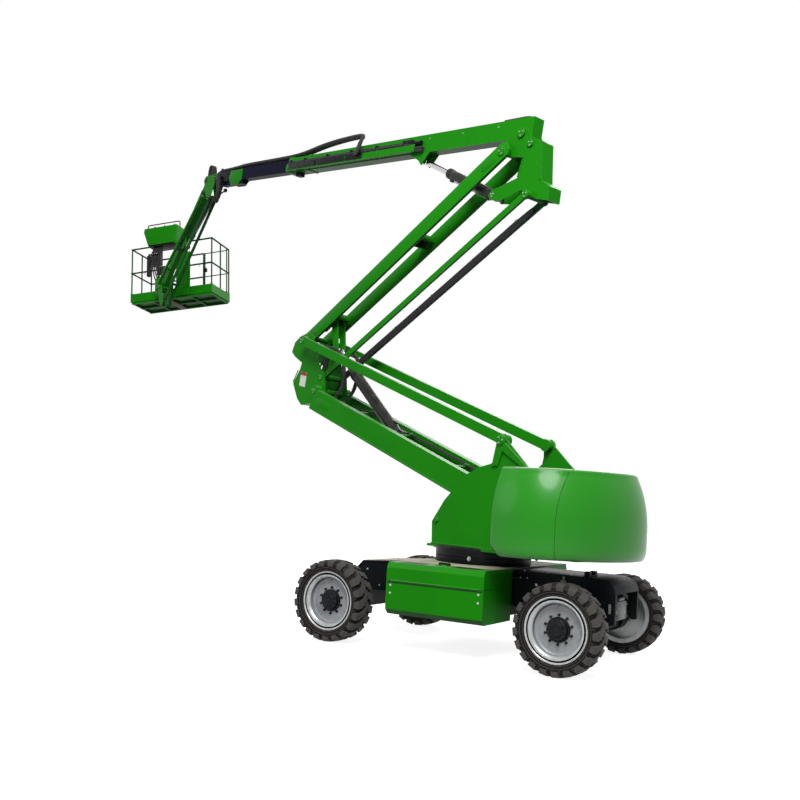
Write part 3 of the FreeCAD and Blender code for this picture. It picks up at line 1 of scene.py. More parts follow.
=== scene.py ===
"""Looks of an articulated and telescopic boom lift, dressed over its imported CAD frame.

Lengths are in metres in the row frame: X forward, Y to the machine's left, Z up. Each sub-assembly
is a class that finds its place from the frame's joints and nodes, and each surface is a ``Finish``.
"""

from __future__ import annotations

import json
import logging
import math
from dataclasses import dataclass, field
from enum import Enum

import bmesh
import bpy
from mathutils import Matrix, Vector

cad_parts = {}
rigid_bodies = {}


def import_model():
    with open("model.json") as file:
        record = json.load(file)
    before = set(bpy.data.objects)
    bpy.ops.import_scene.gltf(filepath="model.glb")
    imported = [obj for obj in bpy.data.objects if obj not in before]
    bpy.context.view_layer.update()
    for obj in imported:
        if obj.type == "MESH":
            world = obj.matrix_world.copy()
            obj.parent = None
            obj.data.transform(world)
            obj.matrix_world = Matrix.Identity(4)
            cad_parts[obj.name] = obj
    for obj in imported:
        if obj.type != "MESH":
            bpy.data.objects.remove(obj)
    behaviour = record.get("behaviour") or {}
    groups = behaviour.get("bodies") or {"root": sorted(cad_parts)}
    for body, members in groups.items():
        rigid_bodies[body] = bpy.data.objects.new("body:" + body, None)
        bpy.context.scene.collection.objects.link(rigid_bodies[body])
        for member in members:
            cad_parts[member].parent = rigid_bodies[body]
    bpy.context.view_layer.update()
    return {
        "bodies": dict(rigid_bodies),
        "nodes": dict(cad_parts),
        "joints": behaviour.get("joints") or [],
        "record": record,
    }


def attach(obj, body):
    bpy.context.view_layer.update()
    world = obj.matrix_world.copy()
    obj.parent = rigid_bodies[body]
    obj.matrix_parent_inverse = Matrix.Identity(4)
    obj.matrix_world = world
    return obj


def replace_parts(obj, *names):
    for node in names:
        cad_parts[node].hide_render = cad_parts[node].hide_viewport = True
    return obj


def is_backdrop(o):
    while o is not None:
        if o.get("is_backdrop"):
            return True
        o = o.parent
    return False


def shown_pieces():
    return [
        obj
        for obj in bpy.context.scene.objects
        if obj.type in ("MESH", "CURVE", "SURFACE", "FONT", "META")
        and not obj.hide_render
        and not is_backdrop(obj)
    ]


LOG = logging.getLogger("boom_lift")

Colour = tuple[float, float, float]
Point = tuple[float, float, float]
Flat = tuple[float, float]
Tree = bpy.types.NodeTree
Socket = bpy.types.NodeSocket
Piece = bpy.types.Object

SIDES = ((1, "left"), (-1, "right"))
DUST_COLOUR = (0.42, 0.4, 0.36)
COAT_ROUGHNESS = 0.12
RELIEF_STRENGTH = 0.6
# Painted shade: underneath, a colour falls to this share of itself, between two heights of the face's
# normal.
PAINTED_SHADE_LEFT = 0.12
PAINTED_SHADE_LIMIT = 0.85
PAINTED_SHADE_START = -0.4
PAINTED_SHADE_FULL = -0.8
WORLD_STRENGTH = 0.24
FLOOR_REACH = 60.0
FLOOR_SHADE = 0.2
FLOOR_WHITE = 0.9
FLOOR_GLOW = 0.86


class Slot(str, Enum):
    """Material slots of the record."""

    GREEN = "green_paint"
    BLACK = "black_paint"
    NAVY = "navy_paint"
    GREY = "grey_paint"
    SILVER = "silver_paint"
    RUBBER = "tyre_rubber"
    HOSE = "hose_rubber"
    CHROME = "rod_chrome"
    ENGINE = "engine_grey"
    PLASTIC = "tank_plastic"
    IRON = "iron"


# --- Finishes -------------------------------------------------------------------------------


def add_node(tree: Tree, kind: str, inputs: dict[str | int, object], output: str | int,
        **settings: object) -> Socket:
    """Add a shader node, set or link its inputs and return one of its outputs.

    Args:
        tree: Node tree of the material or the world.
        kind: Type of the node, without its prefix.
        inputs: A value for each input, or the socket that feeds it.
        output: The output that is returned.
        settings: Other properties of the node.

    Returns:
        The socket of that output.
    """
    node = tree.nodes.new("ShaderNode" + kind)
    for name, value in settings.items():
        setattr(node, name, value)
    for name, value in inputs.items():
        if isinstance(value, Socket):
            tree.links.new(value, node.inputs[name])
        else:
            node.inputs[name].default_value = value
    return node.outputs[output]


@dataclass(frozen=True)
class Finish:
    """A procedural surface: a base colour with cloudy wear, edges lightened by wear and a painted
    highlight, settled dust, painted shade on faces that look down, and fine relief.

    Attributes:
        name: Name of the Blender material.
        slot: Record slot that the surface belongs to; not used.
        colour: Linear base colour.
        worn: Linear colour of the cloudy patches.
        wear: Share of the worn colour in the patches, 0 to 1.
        patch: Size of a patch in metres.
        roughness: Mean roughness.
        spread: How far the roughness swings about its mean.
        metallic: Metallic value of the shader.
        coat: Weight of the clear coat.
        gloss: Specular level of the shader.
        bump: Height of the fine relief in metres.
        grain: Size of the relief's grain in metres.
        dust: Share of pale dust on faces that look up.
        edge: Linear colour of the edges, rubbed paint with a painted highlight.
        rub_and_highlight: Share of the edge colour on the edges, for rubbed paint and a painted highlight.
    """

    name: str
    slot: Slot
    colour: Colour
    worn: Colour
    wear: float = 0.3
    patch: float = 0.5
    roughness: float = 0.4
    spread: float = 0.08
    metallic: float = 0.0
    coat: float = 0.0
    gloss: float = 0.3
    bump: float = 0.0006
    grain: float = 0.02
    dust: float = 0.1
    edge: Colour = (0.3, 0.3, 0.3)
    rub_and_highlight: float = 0.0

    def build(self) -> bpy.types.Material:
        """Return the Blender material, made on first use.

        Returns:
            The material with its node tree.
        """
        known = bpy.data.materials.get(self.name)
        if known is not None:
            return known
        material = bpy.data.materials.new(self.name)
        material.use_nodes = True
        tree = material.node_tree
        shader = tree.nodes["Principled BSDF"]
        shader.inputs["Metallic"].default_value = self.metallic
        shader.inputs["Specular IOR Level"].default_value = self.gloss
        shader.inputs["Coat Weight"].default_value = self.coat
        shader.inputs["Coat Roughness"].default_value = COAT_ROUGHNESS
        place = add_node(tree, "TexCoord", {}, "Object")
        patches = self._noise(tree, place, 1 / self.patch, 5.0)
        grain = self._noise(tree, place, 1 / self.grain, 3.0)
        patched = self._mix(tree, self._ramp(tree, patches, 0.45, 0.7, self.wear), self.colour, self.worn)
        dust_and_painted_shade = self._mix(tree, self._dust(tree, patches), patched, DUST_COLOUR)
        # Edges get a lighter colour: rubbed paint together with a painted highlight.
        if self.rub_and_highlight > 0:
            dust_and_painted_shade = self._mix(tree, self._rubbed_and_highlit_edges(tree, grain), dust_and_painted_shade, self.edge)
        # Painted shade: faces that look down are mixed towards a dark copy of the base colour.
        deep = tuple(value * PAINTED_SHADE_LEFT for value in self.colour)
        dust_and_painted_shade = self._mix(tree, self._underside(tree), dust_and_painted_shade, deep)
        tree.links.new(dust_and_painted_shade, shader.inputs["Base Color"])
        rough = self._ramp(tree, grain, 0.3, 0.7, 2 * self.spread, self.roughness - self.spread)
        tree.links.new(rough, shader.inputs["Roughness"])
        relief = {"Strength": RELIEF_STRENGTH, "Distance": self.bump, "Height": grain}
        tree.links.new(add_node(tree, "Bump", relief, "Normal"), shader.inputs["Normal"])
        return material

    @staticmethod
    def _height(tree: Tree) -> Socket:
        """Return how far a face looks up, from -1 to 1."""
        normal = add_node(tree, "NewGeometry", {}, "Normal")
        return add_node(tree, "SeparateXYZ", {"Vector": normal}, "Z")

    def _underside(self, tree: Tree) -> Socket:
        """Return how far a face looks down, where painted shade darkens it."""
        return add_node(tree, "MapRange", {"Value": self._height(tree), "From Min": PAINTED_SHADE_START,
            "From Max": PAINTED_SHADE_FULL, "To Max": PAINTED_SHADE_LIMIT}, "Result")

    @staticmethod
    def _noise(tree: Tree, place: Socket, scale: float, detail: float) -> Socket:
        """Return a noise value at a scale in cycles per metre."""
        return add_node(tree, "TexNoise", {"Vector": place, "Scale": scale, "Detail": detail}, "Fac")

    @staticmethod
    def _ramp(tree: Tree, value: Socket, low: float, high: float, gain: float, base: float = 0.0) -> Socket:
        """Return base at low, base + gain at high, and a smooth step between."""
        return add_node(tree, "MapRange", {"Value": value, "From Min": low, "From Max": high,
            "To Min": base, "To Max": base + gain}, "Result", interpolation_type="SMOOTHSTEP")

    @staticmethod
    def _mix(tree: Tree, share: Socket, first: object, second: object) -> Socket:
        """Return a blend of two colours, each a tuple or a socket."""
        one, two = ((*item, 1.0) if isinstance(item, tuple) else item for item in (first, second))
        return add_node(tree, "Mix", {"Factor": share, 6: one, 7: two}, 2, data_type="RGBA")

    @staticmethod
    def _product(tree: Tree, first: Socket, second: Socket) -> Socket:
        """Return the product of two values."""
        return add_node(tree, "Math", {0: first, 1: second}, "Value", operation="MULTIPLY")

    def _dust(self, tree: Tree, patches: Socket) -> Socket:
        """Return the share of dust, which lies where a face looks up."""
        level = self._ramp(tree, self._height(tree), 0.3, 1.0, self.dust)
        return self._product(tree, level, self._ramp(tree, patches, 0.25, 0.65, 1.0))

    def _rubbed_and_highlit_edges(self, tree: Tree, grain: Socket) -> Socket:
        """Return the share of edge colour, rubbed paint with a painted highlight, found where a rounded
        normal leaves the flat one.

        Args:
            tree: The material's node tree.
            grain: Noise that breaks the edges up.

        Returns:
            The share of edge colour, rubbed paint with a painted highlight.
        """
        rounded = add_node(tree, "Bevel", {"Radius": 0.007}, "Normal", samples=4)
        flat = add_node(tree, "NewGeometry", {}, "Normal")
        dot = add_node(tree, "VectorMath", {0: rounded, 1: flat}, "Value", operation="DOT_PRODUCT")
        share = self._ramp(tree, dot, 0.995, 0.8, self.rub_and_highlight)
        return self._product(tree, share, self._ramp(tree, grain, 0.3, 0.6, 0.6, 0.4))


# Each finish's edge colour is rubbed paint with a painted highlight.
GREEN = Finish("gloss_green", Slot.GREEN, (0.01, 0.232, 0.003), (0.008, 0.17, 0.005), 0.3, 0.7, 0.34, 0.05,
    gloss=0.05, bump=0.0, grain=0.0015, dust=0.3, edge=(0.12, 0.42, 0.1), rub_and_highlight=0.4)
HOOD_GREEN = Finish("hood_green", Slot.GREEN, (0.01, 0.232, 0.003), (0.008, 0.17, 0.005), 0.3, 0.7, 0.34,
    0.05, coat=0.2, gloss=0.2, bump=0.0, grain=0.0015, dust=0.35, edge=(0.12, 0.42, 0.1), rub_and_highlight=0.4)
# Painted shade: a darker copy of the green paint, given to the far upper link, the far cross member, the
# jib link, the gate post, the rails and the gate.
PAINTED_SHADE_GREEN = Finish("painted_shade_green", Slot.GREEN, (0.006, 0.085, 0.018), (0.02, 0.07, 0.02), 0.4, 0.2, 0.45,
    gloss=0.04, dust=0.1, edge=(0.05, 0.2, 0.05), rub_and_highlight=0.4)
SATIN_BLACK = Finish("satin_black", Slot.BLACK, (0.003, 0.0035, 0.005), (0.016, 0.015, 0.014), 0.25, 0.25,
    0.45, gloss=0.12, dust=0.06, edge=(0.08, 0.08, 0.08), rub_and_highlight=0.5)
NAVY = Finish("navy_enamel", Slot.NAVY, (0.002, 0.003, 0.018), (0.004, 0.005, 0.022), 0.3, 0.35, 0.4,
    gloss=0.03, dust=0.04, edge=(0.05, 0.055, 0.1), rub_and_highlight=0.4)
CHASSIS = Finish("chassis_black", Slot.BLACK, (0.002, 0.0035, 0.005), (0.01, 0.012, 0.011), 0.4, 0.3, 0.5,
    gloss=0.08, dust=0.03, edge=(0.06, 0.07, 0.06), rub_and_highlight=0.4)
BARREL = Finish("cylinder_grey", Slot.GREY, (0.016, 0.017, 0.016), (0.05, 0.045, 0.04), 0.5, 0.16, 0.4,
    gloss=0.2, dust=0.15, edge=(0.15, 0.15, 0.15), rub_and_highlight=0.4)
BEIGE = Finish("deck_beige", Slot.GREY, (0.36, 0.34, 0.24), (0.2, 0.2, 0.13), 0.6, 0.22, 0.72, dust=0.3,
    bump=0.0012, grain=0.012, edge=(0.5, 0.48, 0.38), rub_and_highlight=0.5)
SILVER = Finish("silver_rim", Slot.SILVER, (0.4, 0.415, 0.42), (0.24, 0.24, 0.23), 0.4, 0.08, 0.36,
    metallic=0.35, dust=0.0, edge=(0.75, 0.75, 0.74), rub_and_highlight=0.8)
# Painted shade: a darker copy of the rim's silver for the deep dish and its barrel.
DISH_PAINTED_SHADE = Finish("disc_grey_painted_shade", Slot.SILVER, (0.25, 0.265, 0.275), (0.16, 0.165, 0.165), 0.5, 0.09, 0.42,
    metallic=0.25, dust=0.0, edge=(0.5, 0.5, 0.5), rub_and_highlight=0.5)
STEEL = Finish("bare_steel", Slot.SILVER, (0.46, 0.46, 0.45), (0.25, 0.22, 0.18), 0.4, 0.02, 0.35,
    metallic=0.8, grain=0.004, dust=0.05)
RUBBER = Finish("tyre_rubber", Slot.RUBBER, (0.03, 0.026, 0.024), (0.075, 0.062, 0.052), 0.45, 0.05, 0.8,
    0.06, gloss=0.25, bump=0.003, grain=0.012, dust=0.3, edge=(0.16, 0.14, 0.12), rub_and_highlight=0.7)
# Painted shade: the carcass is near black, darker than the lugs, for the shade in the grooves between them.
CARCASS_PAINTED_SHADE = Finish("tyre_carcass_painted_shade", Slot.RUBBER, (0.006, 0.005, 0.005), (0.02, 0.017, 0.014), 0.4, 0.05, 0.85,
    0.06, gloss=0.15, bump=0.003, grain=0.012, dust=0.08)
HOSE = Finish("hose_rubber", Slot.HOSE, (0.006, 0.006, 0.007), (0.02, 0.02, 0.019), 0.3, 0.05, 0.42,
    gloss=0.2, grain=0.006, dust=0.1)
CHROME = Finish("rod_chrome", Slot.CHROME, (0.55, 0.56, 0.58), (0.35, 0.35, 0.36), 0.3, 0.1, 0.16, 0.04,
    metallic=1.0, dust=0.0)
ENGINE = Finish("cast_grey", Slot.ENGINE, (0.15, 0.16, 0.155), (0.06, 0.06, 0.055), 0.5, 0.12, 0.5,
    metallic=0.1, dust=0.25, edge=(0.3, 0.3, 0.28), rub_and_highlight=0.5)
PLASTIC = Finish("black_plastic", Slot.PLASTIC, (0.004, 0.004, 0.005), (0.016, 0.015, 0.014), 0.3, 0.1, 0.5,
    gloss=0.2)
LABEL = Finish("blank_label", Slot.SILVER, (0.74, 0.74, 0.72), (0.55, 0.55, 0.53), 0.4, 0.03, 0.45,
    dust=0.2)
LABEL_RED = Finish("label_red", Slot.SILVER, (0.36, 0.015, 0.012), (0.2, 0.02, 0.015), 0.4, 0.03, 0.45)
CLAMP = Finish("clamp_grey", Slot.GREY, (0.3, 0.31, 0.29), (0.16, 0.16, 0.15), 0.4, 0.03, 0.5)

SLOT_FINISH: dict[str, Finish] = {Slot.GREEN.value: GREEN, Slot.BLACK.value: SATIN_BLACK,
    Slot.NAVY.value: NAVY, Slot.GREY.value: BARREL, Slot.SILVER.value: SILVER, Slot.RUBBER.value: RUBBER,
    Slot.HOSE.value: HOSE, Slot.CHROME.value: CHROME, Slot.ENGINE.value: ENGINE,
    Slot.PLASTIC.value: PLASTIC, Slot.IRON.value: GREEN}
NODE_FINISH: dict[str, Finish] = {"chassis_frame": CHASSIS, "slewing_ring": SATIN_BLACK,
    "rear_axle": CHASSIS, "nose_bracket": GREEN, "jib_link": PAINTED_SHADE_GREEN, "upper_link_right": PAINTED_SHADE_GREEN,
    "upper_cross_far": PAINTED_SHADE_GREEN, "gate_post": PAINTED_SHADE_GREEN, "rail_near": PAINTED_SHADE_GREEN,
    "rail_far": PAINTED_SHADE_GREEN, "rail_left": PAINTED_SHADE_GREEN, "rail_right": PAINTED_SHADE_GREEN, "gate": PAINTED_SHADE_GREEN}


def dress(node: Piece, finish: Finish) -> None:
    """Give every material slot of a CAD node one finish.

    Args:
        node: The CAD node's object.
        finish: The finish for it.
    """
    material = finish.build()
    if not node.material_slots:
        node.data.materials.append(material)
    for slot in node.material_slots:
        slot.material = material


# --- Making pieces --------------------------------------------------------------------------


def span(side: int, near: float, far: float) -> list[float]:
    """Return two distances from the middle plane, taken to one side and in rising order."""
    return sorted((side * near, side * far))


def toothed(teeth: int, root: float, tip: float, centre: Flat = (0.0, 0.0)) -> list[Flat]:
    """Return the outline of a gear whose teeth have sloping flanks.

    Args:
        teeth: Number of teeth.
        root: Radius at the teeth's roots.
        tip: Radius at their tips.
        centre: Middle of the gear.

    Returns:
        The outline, counter-clockwise.
    """
    outline: list[Flat] = []
    for tooth in range(teeth):
        for share, radius in ((0.0, root), (0.25, tip), (0.5, tip), (0.75, root)):
            angle = 2 * math.pi * (tooth + share) / teeth
            outline.append((centre[0] + radius * math.cos(angle), centre[1] + radius * math.sin(angle)))
    return outline


def axes(origin: Vector, forward: Vector, left: Vector) -> Matrix:
    """Return a local frame.

    Args:
        origin: Its origin in the row frame.
        forward: Its x axis.
        left: Roughly its y axis.

    Returns:
        The frame's matrix, with z = x cross y.
    """
    x = forward.normalized()
    z = x.cross(left).normalized()
    y = z.cross(x)
    return Matrix.Translation(origin) @ Matrix((x, y, z)).transposed().to_4x4()


class Shape:
    """Closed forms gathered in one local frame, which become one piece."""

    def __init__(self, frame: Matrix) -> None:
        """Start an empty shape in a local frame."""
        self.frame = frame
        self.mesh = bmesh.new()

    def block(self, low: Point, high: Point, bevel: float = 0.003) -> "Shape":
        """Add a box with rounded edges.

        Args:
            low: Its lowest corner.
            high: Its highest corner.
            bevel: Width of the rounded edges.

        Returns:
            This shape.
        """
        size = [b - a for a, b in zip(low, high)]
        centre = Vector([(a + b) / 2 for a, b in zip(low, high)])
        place = Matrix.Translation(centre) @ Matrix.Diagonal((*size, 1.0))
        made = bmesh.ops.create_cube(self.mesh, size=1.0, matrix=place)["verts"]
        if bevel > 0:
            edges = list(dict.fromkeys(edge for vert in made for edge in vert.link_edges))
            bmesh.ops.bevel(self.mesh, geom=edges, offset=min(bevel, min(size) * 0.3), segments=2,
                profile=0.5, affect="EDGES")
        return self

    def rod(self, start: Point, end: Point, radius: float, tip: float | None = None,
            sides: int = 24) -> "Shape":
        """Add a round bar or a cone.

        Args:
            start: Centre of its first end.
            end: Centre of its other end.
            radius: Radius at the start.
            tip: Radius at the end, if it differs.
            sides: Number of sides.

        Returns:
            This shape.
        """
        first, last = Vector(start), Vector(end)
        along = last - first
        place = Matrix.Translation((first + last) / 2) @ along.to_track_quat("Z", "Y").to_matrix().to_4x4()
        bmesh.ops.create_cone(self.mesh, cap_ends=True, segments=sides, radius1=radius,
            radius2=radius if tip is None else tip, depth=along.length, matrix=place)
        return self

    def turned(self, profile: list[Flat], centre: Point = (0, 0, 0), axis: Point = (0, 1, 0),
            sides: int = 64) -> "Shape":
        """Add a ring or a disc turned about an axis.

        Args:
            profile: Closed outline of (height along the axis, radius) pairs.
            centre: Point on the axis.
            axis: Direction of the axis.
            sides: Number of steps round the axis.

        Returns:
            This shape.
        """
        turn = Vector(axis).to_track_quat("Z", "Y").to_matrix().to_4x4()
        place = Matrix.Translation(Vector(centre)) @ turn
        rings = []
        for height, radius in profile:
            if radius < 1e-6:
                rings.append([self.mesh.verts.new(place @ Vector((0, 0, height)))] * sides)
                continue
            ring = []
            for step in range(sides):
                angle = 2 * math.pi * step / sides
                point = Vector((radius * math.cos(angle), radius * math.sin(angle), height))
                ring.append(self.mesh.verts.new(place @ point))
            rings.append(ring)
        for index, ring in enumerate(rings):
            after = rings[(index + 1) % len(rings)]
            for step in range(sides):
                following = (step + 1) % sides
                corners = [ring[step], ring[following], after[following], after[step]]
                unique = list(dict.fromkeys(corners))
                if len(unique) > 2:
                    self.mesh.faces.new(unique)
        return self

    def plate(self, outline: list[Flat], low: float, high: float, plane: str = "XZ",
            bevel: float = 0.0) -> "Shape":
        """Add a flat plate of any outline.

        Args:
            outline: Corners in the plane, in order.
            low: Start of its thickness.
            high: End of its thickness.
            plane: The outline's plane, XZ or XY or YZ.
            bevel: Width of the rounded edges.

        Returns:
            This shape.
        """
        def place(u: float, v: float, w: float) -> Vector:
            """Return the point at two places in the plane and one across it."""
            return Vector({"XZ": (u, w, v), "XY": (u, v, w), "YZ": (w, u, v)}[plane])

        first = [self.mesh.verts.new(place(u, v, low)) for u, v in outline]
        last = [self.mesh.verts.new(place(u, v, high)) for u, v in outline]
        faces = [self.mesh.faces.new(first), self.mesh.faces.new(last[::-1])]
        for index in range(len(outline)):
            after = (index + 1) % len(outline)
            faces.append(self.mesh.faces.new((first[after], first[index], last[index], last[after])))
        if bevel > 0:
            rims = [edge for face in faces[:2] for edge in face.edges]
            bmesh.ops.bevel(self.mesh, geom=rims, offset=bevel, segments=2, profile=0.5, affect="EDGES")
        return self

    def loft(self, sections: list[list[Point]]) -> "Shape":
        """Add a form skinned over closed sections, with both ends closed.

        Args:
            sections: Points of each section, as many in each and in the same order.

        Returns:
            This shape.
        """
        rings = [[self.mesh.verts.new(point) for point in section] for section in sections]
        for first, second in zip(rings, rings[1:]):
            for index in range(len(first)):
                after = (index + 1) % len(first)
                self.mesh.faces.new((first[index], first[after], second[after], second[index]))
        self.mesh.faces.new(rings[0][::-1])
        self.mesh.faces.new(rings[-1])
        return self

    def button(self, radius: float, height: float, taper: float, seat: Point, axis: Point,
            sides: int) -> "Shape":
        """Add a round boss that narrows towards its face.

        Args:
            radius: Radius at its seat.
            height: Its height.
            taper: How much smaller the radius is at its face.
            seat: Centre of its seat.
            axis: Direction in which it stands.
            sides: Number of steps round the axis.

        Returns:
            This shape.
        """
        return self.turned([(0.0, 0.0), (0.0, radius), (height, radius - taper), (height, 0.0)], seat, axis,
            sides)

    def bolt(self, place: Point, way: Point, radius: float = 0.012, height: float = 0.01) -> "Shape":
        """Add a hexagon head on a round washer.

        Args:
            place: Centre of its seat.
            way: Direction in which it stands.
            radius: Radius of the head across its corners.
            height: Height of the head.

        Returns:
            This shape.
        """
        seat, up = Vector(place), Vector(way).normalized()
        self.rod(seat, seat + up * height * 0.25, radius * 1.35, sides=16)
        return self.rod(seat + up * height * 0.2, seat + up * height, radius, radius * 0.94, sides=6)

    def bolts(self, centre: Point, way: Point, ring: float, count: int, radius: float = 0.01,
            height: float = 0.009, start: float = 0.0) -> "Shape":
        """Add a ring of bolts about an axis.

        Args:
            centre: Centre of the ring.
            way: Direction in which the bolts stand.
            ring: Radius of the ring.
            count: Number of bolts.
            radius: Radius of a head.
            height: Height of a head.
            start: Angle of the first bolt in degrees.

        Returns:
            This shape.
        """
        turn = Vector(way).to_track_quat("Z", "Y").to_matrix()
        for step in range(count):
            angle = math.radians(start) + 2 * math.pi * step / count
            offset = turn @ Vector((ring * math.cos(angle), ring * math.sin(angle), 0))
            self.bolt(Vector(centre) + offset, way, radius, height)
        return self

    def piece(self, name: str, finish: Finish, body: str, sharp: float = 35.0) -> Piece:
        """Turn the shape into a named piece that rides on a body.

        Args:
            name: The piece's name.
            finish: Its finish.
            body: The CAD body that it moves with.
            sharp: Angle in degrees above which an edge stays sharp.

        Returns:
            The piece.
        """
        bmesh.ops.recalc_face_normals(self.mesh, faces=self.mesh.faces)
        data = bpy.data.meshes.new(name)
        self.mesh.to_mesh(data)
        self.mesh.free()
        data.transform(self.frame)
        data.update()
        data.shade_smooth()
        data.set_sharp_from_angle(angle=math.radians(sharp))
        return settle(bpy.data.objects.new(name, data), finish, body)


def settle(item: Piece, finish: Finish, body: str) -> Piece:
    """Link a piece, dress it and let it ride.

    Args:
        item: The new object, in place.
        finish: Its finish.
        body: The CAD body that it moves with.

    Returns:
        The piece.
    """
    bpy.context.collection.objects.link(item)
    item.data.materials.append(finish.build())
    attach(item, body)
    return item


def hoses(name: str, frame: Matrix, radius: float, routes: list[list[Point]], body: str,
        finish: Finish = HOSE) -> Piece:
    """Make hoses or bent tubes that the machine holds, as smooth splines of one piece.

    Args:
        name: The piece's name.
        frame: Local frame of the points.
        radius: Radius of each hose.
        routes: Control points of each hose.
        body: The CAD body that they move with.
        finish: Their finish.

    Returns:
        The piece.
    """
    data = bpy.data.curves.new(name, "CURVE")
    data.dimensions = "3D"
    data.bevel_depth = radius
    data.bevel_resolution = 4
    data.resolution_u = 8
    data.use_fill_caps = True
    for points in routes:
        spline = data.splines.new("NURBS")
        spline.points.add(len(points) - 1)
        for knot, point in zip(spline.points, points):
            knot.co = (*(frame @ Vector(point)), 1.0)
        spline.order_u = min(4, len(points))
        spline.use_endpoint_u = True
    line = bpy.data.objects.new(name + "_line", data)
    mesh = bpy.data.meshes.new_from_object(line)
    bpy.data.objects.remove(line)
    mesh.name = name
    mesh.shade_smooth()
    mesh.set_sharp_from_angle(angle=math.radians(50))
    mesh.materials.clear()
    return settle(bpy.data.objects.new(name, mesh), finish, body)


@dataclass(frozen=True)
class Layout:
    """Places of the machine's moving frames, read from its joints."""

    joints: dict[str, dict]

    def at(self, joint: str) -> Vector:
        """Return a joint's place."""
        return Vector(self.joints[joint]["pos_m"])

    @property
    def left(self) -> Vector:
        """Return the turntable's left direction."""
        return -Vector(self.joints["riser_lift"]["axis"]).normalized()

    @property
    def ground(self) -> Matrix:
        """Return the chassis frame, on the floor under the slewing axis."""
        return Matrix.Translation(self.at("slew"))

    @property
    def turntable(self) -> Matrix:
        """Return the turntable frame, on the floor under the slewing axis."""
        return axes(self.at("slew"), self.left.cross(Vector((0, 0, 1))), self.left)

    def level(self, joint: str) -> Matrix:
        """Return a frame at a joint that stands like the turntable."""
        return Matrix.Translation(self.at(joint) - self.at("slew")) @ self.turntable

    def bar(self, start: str, end: str) -> Matrix:
        """Return a frame at one joint with its x axis towards another."""
        return axes(self.at(start), self.at(end) - self.at(start), self.left)

    def along(self, start: str, slide: str) -> Matrix:
        """Return a frame at a joint with its x axis along a slide."""
        return axes(self.at(start), Vector(self.joints[slide]["axis"]), self.left)

    @property
    def platform(self) -> Matrix:
        """Return the platform frame: z up its rotator, x from it towards the far rail.

        Returns:
            The platform's frame.
        """
        up = Vector(self.joints["platform_turn"]["axis"]).normalized()
        reach = self.at("gate_open") - self.at("platform_turn")
        flat = reach - up * reach.dot(up)
        turn = Matrix.Rotation(math.atan2(0.933, 0.994), 3, up)
        forward = turn @ flat.normalized()
        return axes(self.at("platform_turn"), forward, up.cross(forward))


# --- Wheels and chassis ---------------------------------------------------------------------


